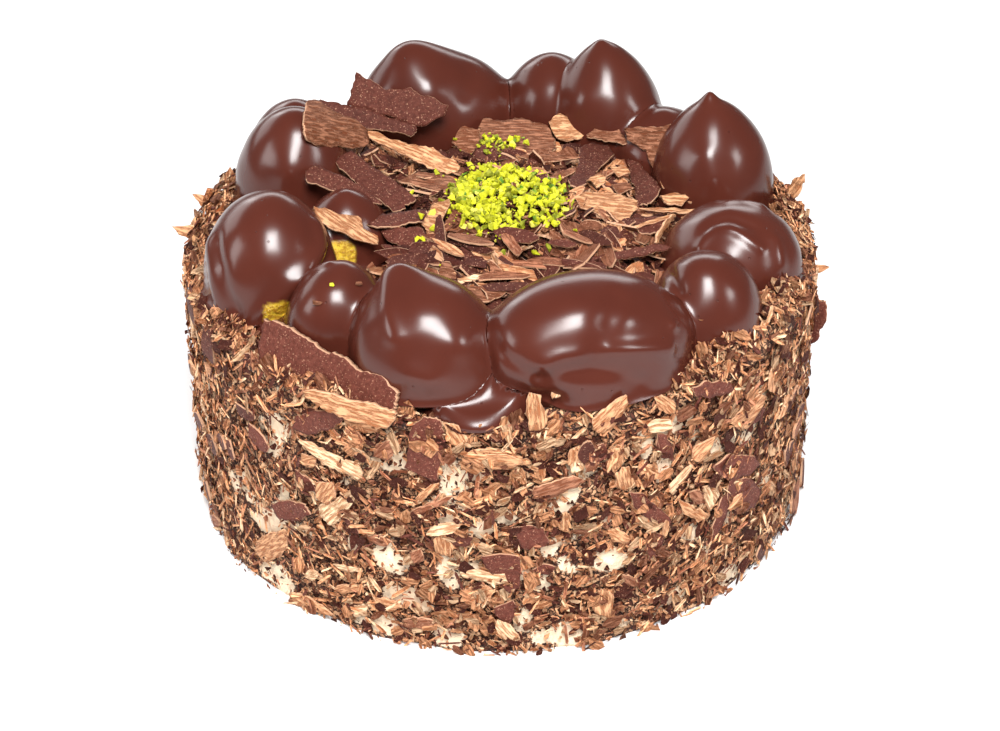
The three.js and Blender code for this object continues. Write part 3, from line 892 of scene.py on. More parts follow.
def makePuffs():
    shapes = {name: shapePuff(name) for name in puffs}
    trees = {}
    for name, (points, faces) in shapes.items():
        trees[name] = BVHTree.FromPolygons(points.tolist(), faces.tolist())
    for name, (points, faces) in shapes.items():
        at = np.array(puffs[name]["at"])
        close = []
        for other in puffs:
            reach = 0.5 * (max(puffs[name]["size"]) + max(puffs[other]["size"])) + 9
            if np.hypot(*(at - puffs[other]["at"])) < reach:
                close.append(trees[other])
        points = settle(points, close)
        points[:, 2] = np.maximum(points[:, 2], poolTop - 2)
        mesh = finishSkin(name, points, faces)
        toObject("puff" + name[-2:], mesh, glazeFinish, "glaze", [name])
    return trees


def makePool(trees):
    edge = glaze["edge"]
    profile = [(0, glazeFoot), (edge - 3, glazeFoot), (edge - 1, glazeFoot + 0.2), (edge, glazeFoot + 1.2)]
    profile += [(edge - 0.3, poolTop - 1.0), (edge - 1.2, poolTop - 0.25)]
    profile += [(r, poolTop) for r in np.arange(edge - 2.6, 45, -1.1)]
    profile += [(30, poolTop), (0, poolTop)]
    bm = spinProfile(profile, 400)
    points, reach, angle = cornersRound(bm)
    ripple = 2.2 * np.sin(7 * angle + 0.6) + 1.3 * np.sin(12 * angle + 2.1)
    ripple += 8.5 * bell(np.degrees(angle) + 95, 11)  # it runs out to the rim at the front
    stretch = 1 + ripple / edge * smoothStep(60, 92, reach)
    points[:, :2] *= stretch[:, None]
    upper = (points[:, 2] > poolTop - 0.1) & (reach > 40)
    top = points[upper]
    top[:, 2] = poolHeight(top)
    points[upper] = settle(top, list(trees.values()), 2)
    skinToObject("glazePool", bm, points, "bare", 0, (glazeFinish, "glaze"), ["chocolate_glaze"])


puffTrees = makePuffs()
print("puffs made")
makePool(puffTrees)
print("pool made")


# The heap of shavings

heap = {
    "radius": 64.0,
    "top": 99.0,
    "thickness": 0.9,  # of its plates
    "shade": 0.85,  # how light the plates are
    # painted shade: the loose shavings and the flake beds are painted darker deep down than on top
    "layerShade": (0.2, 0.88),  # and the loose shavings, deep down and on top
    "bedShade": (0.3, 0.92),
}
heapLayers = [
    {"name": "heapFlakes", "shapes": largeFlakes, "count": 500, "rise": (-0.8, 2.4), "lean": 0.4,
     "size": ((8, 19), (0.25, 0.55), (0.4, 0.8), 1.4), "tones": (0.62, 0.24, 0.12, 0.02)},
    {"name": "heapChips", "shapes": chips, "count": 1500, "rise": (0, 3.2), "lean": 0.45,
     "size": ((3, 9), (0.25, 0.7), (0.3, 0.7), 1.4), "tones": (0.4, 0.3, 0.22, 0.08)},
    {"name": "heapSlivers", "shapes": splinters, "count": 2600, "rise": (0, 3), "lean": 0.3,
     "size": ((2, 8), (0.1, 0.28), (0.3, 0.7), 1.4), "tones": (0.4, 0.32, 0.2, 0.08)},
]  # fmt: skip


def heapHeight(x, y):
    reach = np.hypot(x, y) / heap["radius"]
    level = np.interp(reach, [0, 0.45, 0.65, 0.8, 0.92, 1], [2.5, 1, -2.5, -6, -8, puffFoot - heap["top"]])
    bank = 11 * bell(np.hypot(x + 48, y - 37), 14)
    hollow = 12 * bell(np.hypot(x + 41, y + 12), 10)
    hollow = hollow + 3.2 * bell(np.hypot(x - 2, y + 36), 17)
    flat = np.stack([x, y, np.zeros_like(x)], axis=-1)
    return np.maximum(heap["top"] + level + bank - hollow + wave(flat, 13), puffFoot - 0.6)


def makeHeapCore():
    bm = spinProfile([(reach, 0) for reach in np.linspace(0, heap["radius"], 40)], 120)
    bmesh.ops.recalc_face_normals(bm, faces=bm.faces[:])
    foot = bmesh.ops.extrude_face_region(bm, geom=bm.faces[:])
    bm.verts.index_update()
    lowered = [item.index for item in foot["geom"] if isinstance(item, bmesh.types.BMVert)]
    points = cornersRound(bm)[0]
    points[:, 2] = heapHeight(points[:, 0], points[:, 1])
    points[lowered, 2] = puffFoot - 2
    look = (crumbAndShadeFinish, "heap_shavings")
    skinToObject("heapCore", bm, points, "crumb", 1, look, ["shaving_heap"], smooth=False)


# The plates and curls that the photo shows. Each has its middle, the way its length points,
# how that climbs, how far its left edge leans up (in degrees), how many degrees it bends
# through across its width, and its outline in millimetres.
heapPlates = listRows("at turn pitch lean tone curl outline", [
    ((-55.4, 25.4, 119.4), 44, -29, 40, "brown", -60, [(-8.6, 7.9), (-2.9, 9.8), (0.8, 6.6), (5.5, 3.9),
     (12.4, 2.9), (16, -0.9), (16.3, -5.4), (10, -8), (0.3, -8.7), (-8.7, -9.8), (-14.4, -8.1),
     (-16.3, -4.8), (-14, 0.9)]),
    ((-34.8, 46.3, 115.4), -11, -14, 60, "dark", 8, [(-16.7, 5.5), (-13.2, 4.3), (-10.6, 4.6), (-6, 3.5),
     (-1.5, 4.1), (2.1, 6.1), (6.2, 4.7), (9.3, 5.2), (12.6, 4.7), (16.9, 4.5), (17.2, 1.9), (14.4, -1),
     (11.3, -4.6), (9.1, -5.9), (0, -5.6), (-8.6, -5.2), (-16.8, -6.1), (-17.2, -2.2), (-15.2, 0.6)]),
    ((-45.3, 42.1, 111.3), -13, -13, 35, "dark", 20, [(-18, 1.7), (-8.6, 2.7), (-0.6, 4.1), (8.2, 3.1),
     (16.7, 3.2), (18, 0.8), (15.8, -0.6), (10.6, -0.7), (1.9, -3.1), (-4.1, -4.1), (-9.7, -3.2),
     (-15, -0.4)]),
    ((-31.1, 30.3, 107.1), -33, -4, 25, "tan", 25, [(-21.5, -0.9), (-17.2, 0), (-14.3, 1.3), (-6.6, 0.7),
     (1, 2.1), (8.5, 3.5), (13.9, 2.6), (18.5, 2), (21.5, 0), (18.8, -3.2), (9.4, -3.5), (0.5, -2.8),
     (-8.4, -2.1), (-15.8, -2.1), (-20, -2.2)]),
    ((-42.0, 7.4, 107.8), -43, -14, 15, "dark", 8, [(-16.1, 0.1), (-14.2, 3.7), (-5.8, 3.9), (-0.8, 4.5),
     (7, 5.1), (13.6, 5.4), (16.1, 4.4), (16, -0.9), (14.2, -4), (7.8, -3.8), (2.5, -5.4), (-4.3, -4.3),
     (-11.9, -3.8), (-14.6, -2.9)]),
    ((-51.0, -1.3, 110.0), -27, -17, 20, "dark", 8, [(-13.9, 0.8), (-12.1, 2.4), (-6.3, 3.2), (1.2, 4.1),
     (8.9, 3), (13.9, 2.2), (9.6, 0), (2.5, -1.4), (-5.5, -3.3), (-11.8, -4.1)]),
    ((-49.4, -18.2, 106.3), -25, -25, 20, "tan", 20, [(-12, -1.2), (-9.5, -0.2), (-5.9, 1.4),
     (-3.7, 1.6), (0, 4.6), (2.8, 4.8), (4.7, 2.9), (11.2, 2.7), (12, 0.6), (8.5, -1), (3.5, -2.2),
     (-3.2, -4.3), (-8, -4.8)]),
    ((-32.7, -9.2, 103.2), 21, -6, 10, "dark", 8, [(-11.4, -1.2), (-5.5, 2.7), (1.8, 3.1), (9, 3.5),
     (11.4, 0.9), (9.3, -1.9), (1.8, -3), (-4.4, -3.5), (-9.2, -2.8)]),
    ((-29.7, -17.1, 100.8), -25, 0, 35, "dark", 8, [(-10, 0.3), (-5, 2.7), (0.3, 4), (3.4, 4.3),
     (8.4, -1.5), (10, -4.3), (5.4, -3.3), (0, -3.1), (-6.7, -2.6)]),
    ((-21.4, 12.5, 104.3), -16, 2, 5, "brown", 8, [(-12.7, -2.1), (-7, 4.3), (1, 5), (8.6, 0.3),
     (12.7, -1.5), (10, -4.1), (2.1, -5), (-5.6, -3.3)]),
    ((5.7, 45.9, 103.0), 0, 0, 10, "brown", 14, [(-13.4, 2.7), (-11.4, 10), (-5.8, 8.3), (2.4, 9.2),
     (10.5, 5.9), (13.4, -2.1), (12.8, -8.4), (7.3, -10), (0.2, -10), (-5.8, -10), (-11.9, -5.2)]),
    ((-11.8, 39.5, 104.1), -5, 0, 40, "brown", 8, [(-3.8, 2.8), (-2, 5), (4.6, 4.8), (4.5, -0.6),
     (1.7, -5), (-1.4, -3), (-4.6, -0.5)]),
    ((23.1, 52.2, 102.9), 0, 0, 40, "tan", 20, [(-6.4, 1.9), (-2.8, 5.2), (0.8, 3.5), (2.8, -0.3),
     (6.4, -2.5), (4.3, -4.6), (-0.8, -5.2), (-4.3, -3.5)]),
    ((37.1, 53.4, 105.5), -15, 4, 50, "brown", 60, [(-8.2, -1.6), (-2.8, 1.8), (3.3, 3.1), (6.1, 1.4),
     (5.9, -1.2), (8.2, -3.1), (1.9, -2.5), (-3.4, -2.4)]),
    ((50.1, 37.2, 103.5), -25, 6, 55, "brown", 30, [(-9.7, 5.5), (-1.1, 6.5), (7.2, 8.4), (9, 5.6),
     (9.1, 0.6), (9.7, -5.4), (5.9, -8.4), (2.3, -6.3), (-0.7, -1.6), (-7.8, 1.1)]),
    ((30.7, 26.2, 102.7), 90, 0, 8, "dark", 8, [(10.5, 3.8), (16, -0.5), (15.9, -5.6), (9.3, -7.9),
     (1.4, -4), (-6.3, -0.8), (-15.1, 3.5), (-16, 7.5), (-12.3, 7.9), (0.4, 4.1)]),
    ((47.2, 22.3, 99.3), -72, -2, 15, "dark", 8, [(-13.9, 0.2), (-9.1, 2.7), (1, 3.2), (7.7, 4.4),
     (11.2, 1.5), (13.9, -2.8), (12.7, -4.4), (5.2, -4.3), (-3.2, -2.7)]),
    ((34.2, -1.3, 102.3), -2, -6, 15, "tan", 8, [(-11, 6.2), (-2.7, 6.8), (4.1, 7.1), (11, 4.8),
     (10.6, 1.4), (8.3, -1), (7.5, -7.1), (3.6, -5.7), (-2.3, -2.6), (-8.3, -0.2)]),
    ((24.2, -15.0, 100.6), -60, -13, -20, "brown", 30, [(-10.9, -1), (-7.9, 0.8), (-6.4, 4.9),
     (-0.3, 4.6), (8.7, 1.7), (10.9, -2.9), (5.7, -4.4), (-0.3, -4.9)]),
    ((34.7, -15.2, 99.5), -90, -13, 5, "tan", 25, [(-7.7, -3.6), (-6.6, 0.7), (-4.8, 5), (1.1, 2.8),
     (7.7, 0.3), (7.2, -5), (1.9, -4.3), (-2.1, -2.8)]),
    ((34.8, -28.2, 100.7), 8, 5, 50, "dark", 8, [(-20.5, 0.8), (-11.5, 0.4), (-3.8, 0.6), (6.9, 1.4),
     (16.5, 1.8), (20.5, -0.2), (16, -1), (10.2, -1.6), (2.5, -1.8), (-7.1, -1.8), (-14.7, -1.6)]),
    ((-3.0, -28.0, 99.4), -16, -8, 20, "tan", 8, [(-10.5, 4.5), (-3.4, 3.8), (3.4, 1.1), (10.5, -2.6),
     (8.7, -4.5), (0.6, -2.3), (-6.2, 0.3)]),
    ((-10.8, -29.5, 99.2), -7, 0, 30, "dark", 8, [(-7.5, 0.5), (-2.2, 4.1), (5.6, 2), (7.5, -2.7),
     (2.5, -4.1), (-4.2, -3.5)]),
    ((-4.9, -45.1, 98.9), 2, -7, 20, "brown", 50, [(-11.2, -0.2), (-7.5, 0.2), (-1.9, 1.3), (4.6, 1.3),
     (11.2, 6.1), (9.3, 2.4), (1.9, -4.2), (-3.7, -6.1), (-7.4, -4.4)]),
    ((41.3, 46.2, 102.9), -11, -3, 35, "brown", 20, [(-11.8, -2.1), (-8.5, 2.3), (-1.3, 2.8),
     (2.5, -1.7), (11.8, -2.6), (2.7, -2.8), (-4.5, -2.8)]),
    ((-19.9, -11.8, 103.3), -34, -5, 25, "tan", 8, [(-4.9, -2.4), (-6.1, 5.5), (-1.8, 8.8), (-0.4, 7.6),
     (-3.4, 4.2), (3.3, -4.1), (6.1, -6.6), (4.1, -8.8), (0.4, -6.8)]),
    ((-4.9, 33.9, 102.7), 0, 0, 40, "dark", 8, [(-4.5, -0.8), (-2, 3.5), (3.5, 1.3), (4.5, -1.9),
     (0.5, -3.5)]),
    ((-27.3, -27.1, 99.6), -21, -4, 20, "dark", 8, [(-6.9, 1.9), (-1.4, 2.5), (5.8, -0.2), (6.9, -1.7),
     (2.6, -2.5), (-3.2, -0.7)]),
    ((19.8, -22.0, 100.1), -49, -6, 25, "brown", 8, [(-9.3, 2.6), (-4.7, 3.1), (1.9, 2.3), (9.3, 2),
     (7.9, -1.9), (0.6, -3.1), (-4.9, -1.4)]),
    ((-3.9, -24.8, 99.1), -24, -9, 30, "brown", 8, [(-11, 1.7), (-9.5, 2.9), (-2.2, 1.9), (7.1, 0),
     (11, -2.9), (5.8, -1.7), (-3.3, -0.3)]),
    ((0.7, -23.9, 99.1), -21, -3, 30, "tan", 8, [(-6.7, 1.5), (-0.8, 2), (6.2, -0.5), (6.7, -2),
     (0.1, -0.5), (-5.7, 0.1)]),
    ((-9.7, -23.5, 100.7), -23, -2, 35, "dark", 8, [(-5.9, -1.3), (-4.5, 3.4), (0.7, 0.5), (5.9, -2.4),
     (2.1, -3.4)]),
    ((-2.1, -37.5, 98.6), -14, -10, 55, "brown", 60, [(-3, 5.1), (-0.5, 4.8), (3, 1), (2.9, -3.4),
     (-0.5, -5.1), (-2.8, -0.7)]),
    ((-9.1, -38.9, 99.0), -6, 0, 20, "light", 8, [(-4.3, -0.2), (0.1, 1.9), (4.3, 2.2), (0.4, -1.1),
     (-3.7, -2.2)]),
    ((-17.4, -37.3, 98.7), -9, -5, 40, "brown", 60, [(-2.4, 4), (0.3, 5), (3.3, 1.5), (4.5, -2.7),
     (0.9, -3.8), (-4.5, -5), (-0.3, -2.1)]),
    ((-29.7, -29.3, 99.1), -27, -1, 25, "dark", 8, [(-11.2, 3.5), (-6, 4), (2, 0.7), (10.4, -1.3),
     (11.2, -4), (4, -3.4), (-4.4, -1.5)]),
    ((48.6, -7.2, 99.7), 0, 0, 15, "dark", 8, [(-5.3, 2.3), (1.6, 4.3), (5.4, 3.7), (3.2, -3),
     (-2.6, -4.3), (-5.4, -1.7)]),
    ((49.9, -6.5, 100.6), 21, 0, 20, "tan", 8, [(-8.6, -0.6), (0.3, 0.7), (8, 1.4), (8.6, 0.2),
     (0.8, -0.7), (-7.8, -1.4)]),
    ((56.4, -0.2, 101.1), 3, -1, 20, "tan", 8, [(-11, 1), (-2.2, 1.2), (5.5, 0.3), (11, 1.1),
     (10.4, -0.4), (3.5, -1.2), (-4.3, -0.5)]),
    ((53.4, -12.1, 101.4), 69, 6, 60, "tan", 8, [(-9.3, 0.6), (-3.7, 1.3), (5.8, 0.5), (9.3, -0.6),
     (7.5, -1.3), (-2, -0.5), (-8.3, -0.7)]),
    ((16.8, 29.7, 103.2), 0, -2, 25, "brown", 8, [(-11, 0.8), (-4, 1.7), (11, 1.1), (3, -0.7),
     (-5, -1.7)]),
    ((21.3, 19.7, 103.6), 18, 0, 20, "brown", 8, [(-5.1, -0.6), (-1.4, 1.2), (5.1, 1.8), (3.3, -0.4),
     (-2.4, -1.8)]),
    ((57.5, 6.6, 101.1), 0, -5, 20, "tan", 8, [(-4.9, 1.1), (-1, 2.7), (4.9, 2), (1.9, -2.7),
     (-2, -2.4)]),
    ((56.2, 17.5, 101.2), -11, 0, 35, "tan", 40, [(-3.3, 1.3), (0.4, 3.1), (3.3, 0.4), (1.3, -3.1),
     (-1.8, -2.4)]),
    ((62.9, 10.0, 101.2), -30, 0, 40, "tan", 40, [(-2.8, 2), (0.2, 4), (2.8, 0.3), (1.3, -4),
     (-0.7, -1.8)]),
    ((40.0, 22.4, 102.9), 0, 0, 20, "tan", 8, [(-3.4, 1.3), (1.6, 2.6), (3.4, -0.9), (-0.6, -2.6)]),
    ((32.5, 13.3, 104.2), 22, 0, 25, "tan", 8, [(-2.7, 1.9), (2.5, 2.9), (2.7, -0.6), (-2.4, -2.9)]),
    ((40.6, 12.6, 102.0), 11, -3, 20, "brown", 8, [(-3.4, 1.4), (1.9, 2.3), (3.4, -0.4), (-2.1, -2.3)]),
])  # fmt: skip


def axesOf(plate):
    turn, pitch, lean = (math.radians(plate[name]) for name in ("turn", "pitch", "lean"))
    along = np.array([math.cos(pitch) * math.cos(turn), math.cos(pitch) * math.sin(turn), math.sin(pitch)])
    level = unit(np.cross([0, 0, 1.0], along))
    across = math.cos(lean) * level + math.sin(lean) * np.cross(along, level)
    return np.stack([along, across, np.cross(along, across)])


def bendAcross(points, width, degrees):
    # rolls a sheet about its length
    if degrees == 0:
        return points
    radius = width / math.radians(degrees)
    turn = points[:, 1] / radius
    y = (radius - points[:, 2]) * np.sin(turn)
    z = radius - (radius - points[:, 2]) * np.cos(turn)
    return np.stack([points[:, 0], y, z - radius * (1 - math.cos(math.radians(degrees) / 4))], axis=-1)


def shapePlate(plate, rng, cell=1.3, axes=None):
    # a broken plate of chocolate: its outline filled with cells, roughened, bent and dented
    outline = np.array(plate["outline"], float)
    long, width = np.ptp(outline, axis=0)
    cells = (max(5, round(long / cell)), max(3, round(width / cell)))
    corners, faces, edge = fillOutline(rng, outline, cells, plate.get("thickness", heap["thickness"]), 0.5)
    shift = rng.uniform(0, 100, 3)
    uv = corners[:, :2] + rng.uniform(0, 400, 2)
    flat = corners * [1, 1, 0] + shift
    corners[:, 2] += 0.3 * wave(flat, 7) + 0.12 * wave(flat, 2.6)
    corners = bendAcross(corners, width, plate["curl"])
    tone = shavingTones[plate["tone"]] * (1 + rng.normal(0, 0.06))
    return {
        "corners": np.array(plate["at"]) + corners @ (axesOf(plate) if axes is None else axes),
        "faces": faces,
        "uv": uv,
        "tone": np.tile(tone, (len(corners), 1)),
        "edge": edge,
    }


def insidePuffs(points, margin=0.94):
    inside = np.full(len(points), False)
    for puff in puffs.values():
        width, depth, height = puff["size"]
        turn = math.atan2(puff["at"][1], puff["at"][0]) + math.pi / 2
        x, y = points[:, 0] - puff["at"][0], points[:, 1] - puff["at"][1]
        u = (x * math.cos(turn) + y * math.sin(turn)) / (width / 2)
        v = (-x * math.sin(turn) + y * math.cos(turn)) / (depth / 2)
        w = (points[:, 2] - puffFoot - glaze["bellyShare"] * height) / ((1 - glaze["bellyShare"]) * height)
        inside |= (u**2 + v**2 + np.maximum(w, 0) ** 2) < margin
    return inside


def scatterOnHeap(rng, count, lift):
    # places on the heap, out of the puffs, with the way the surface faces
    reach = heap["radius"] * np.sqrt(rng.random(count * 2))
    angle = rng.uniform(-math.pi, math.pi, count * 2)
    x, y = reach * np.cos(angle), reach * np.sin(angle)
    place = np.stack([x, y, heapHeight(x, y) + rng.uniform(*lift, count * 2)], axis=-1)
    hole = np.hypot(x + 43, y + 16) < 11 * rng.uniform(0.8, 1.1, count * 2)
    place = place[~insidePuffs(place, 1.02) & ~hole][:count]
    x, y = place[:, 0], place[:, 1]
    step = 0.5
    slopeX = (heapHeight(x + step, y) - heapHeight(x - step, y)) / (2 * step)
    slopeY = (heapHeight(x, y + step) - heapHeight(x, y - step)) / (2 * step)
    normal = unit(np.stack([-slopeX, -slopeY, np.ones_like(x)], axis=-1))
    return place, normal


def anyWay(rng, normal):
    # a random direction in each surface
    return unit(np.cross(normal, unit(rng.normal(size=normal.shape))))


def coversPlate(place):
    # true where a loose shaving would hide one of the plates
    hides = np.full(len(place), False)
    for plate in heapPlates:
        outline = np.array(plate["outline"])
        local = (place - plate["at"]) @ axesOf(plate).T
        inside = np.hypot(*(local[:, :2] / (0.5 * np.ptp(outline, axis=0))).T) < 1
        hides |= inside & (local[:, 2] > -0.4)
    return hides


def layOnHeap(rng, layer):
    lift = layer["rise"]
    size = sizes(rng, layer["count"], *layer["size"])
    place, normal = scatterOnHeap(rng, layer["count"], lift)
    kept = ~coversPlate(place)
    place, normal = place[kept], normal[kept]
    count = len(place)
    slopes = rng.normal(0, layer["lean"], (2, count))
    along, tipped = leaning(normal, anyWay(rng, normal), *slopes)
    # painted shade: the deeper a shaving lies, the darker it is painted
    above = place[:, 2] - heapHeight(place[:, 0], place[:, 1])
    deep, clear = heap["layerShade"]
    shade = deep + (clear - deep) * smoothStep(lift[0], 0.9 * lift[1], above)
    tones = inShade(pickTones(rng, count, layer["tones"]), shade)
    bends = rng.normal(0, 0.2, (count, 2))
    parts = stampMany(layer["shapes"], place, along, tipped, size[:count], bends, tones, rng)
    joinParts(layer["name"], parts, shavingFinish, "heap_shavings")


# where broken flakes lie over one another: limits in x and y, how high above the heap,
# the usual turn of their lengths and how much that varies, how far they lean
flakeBeds = [
    {"name": "heapFrontFlakes", "x": (-34, 40), "y": (-46, -20), "rise": (1.6, 5.4), "turn": (-18, 30),
     "lean": (-10, 72), "count": 84, "size": ((10, 23), (0.18, 0.34)), "tones": (0.6, 0.2, 0.14, 0.06)},
    {"name": "heapBackFlakes", "x": (-8, 62), "y": (28, 56), "rise": (1.5, 4.5), "turn": (0, 40),
     "lean": (0, 65), "count": 90, "size": ((7, 16), (0.35, 0.6)), "tones": (0.34, 0.42, 0.22, 0.02)},
    {"name": "heapRightFlakes", "x": (28, 64), "y": (-14, 26), "rise": (1, 4), "turn": (20, 60),
     "lean": (-30, 75), "count": 110, "size": ((4, 10), (0.3, 0.65)), "tones": (0.3, 0.34, 0.3, 0.06)},
]  # fmt: skip


def layFlakeBed(rng, bed):
    count = bed["count"]
    x = rng.uniform(*bed["x"], count)
    y = rng.uniform(*bed["y"], count)
    place = np.stack([x, y, heapHeight(x, y) + rng.uniform(*bed["rise"], count)], axis=-1)
    place = place[~insidePuffs(place, 1.1) & (np.hypot(x, y) < heap["radius"])]
    if bed["name"] != "heapFrontFlakes":
        place = place[~coversPlate(place)]
    count = len(place)
    turn = np.radians(rng.normal(*bed["turn"], count))
    along = unit(np.stack([np.cos(turn), np.sin(turn), rng.normal(-0.04, 0.08, count)], axis=-1))
    lean = np.radians(rng.uniform(*bed["lean"], count))[:, None]
    level = unit(np.cross([0, 0, 1.0], along))
    across = np.cos(lean) * level + np.sin(lean) * np.cross(along, level)
    size = sizes(rng, count, *bed["size"], (0.5, 0.8), 1.2)
    # painted shade: the lower a flake lies over the heap, the darker it is painted
    rise = place[:, 2] - heapHeight(place[:, 0], place[:, 1])
    deep, clear = heap["bedShade"]
    shade = deep + (clear - deep) * smoothStep(*bed["rise"], rise)
    tones = inShade(pickTones(rng, count, bed["tones"]), shade)
    bends = rng.normal(0, 0.12, (count, 2))
    parts = stampMany(largeFlakes, place, along, np.cross(along, across), size, bends, tones, rng)
    joinParts(bed["name"], parts, shavingFinish, "heap_shavings")


def makeHeap():
    rng = np.random.default_rng(21)
    parts = [shapePlate(plate, rng) for plate in heapPlates]
    for part in parts:
        part["tone"] = part["tone"] * heap["shade"] * (part["tone"].mean() / 0.3) ** 0.15
    joinParts("heapPlates", parts, shavingFinish, "heap_shavings", smooth=True)
    for layer in heapLayers:
        layOnHeap(rng, layer)
    for bed in flakeBeds:
        layFlakeBed(rng, bed)


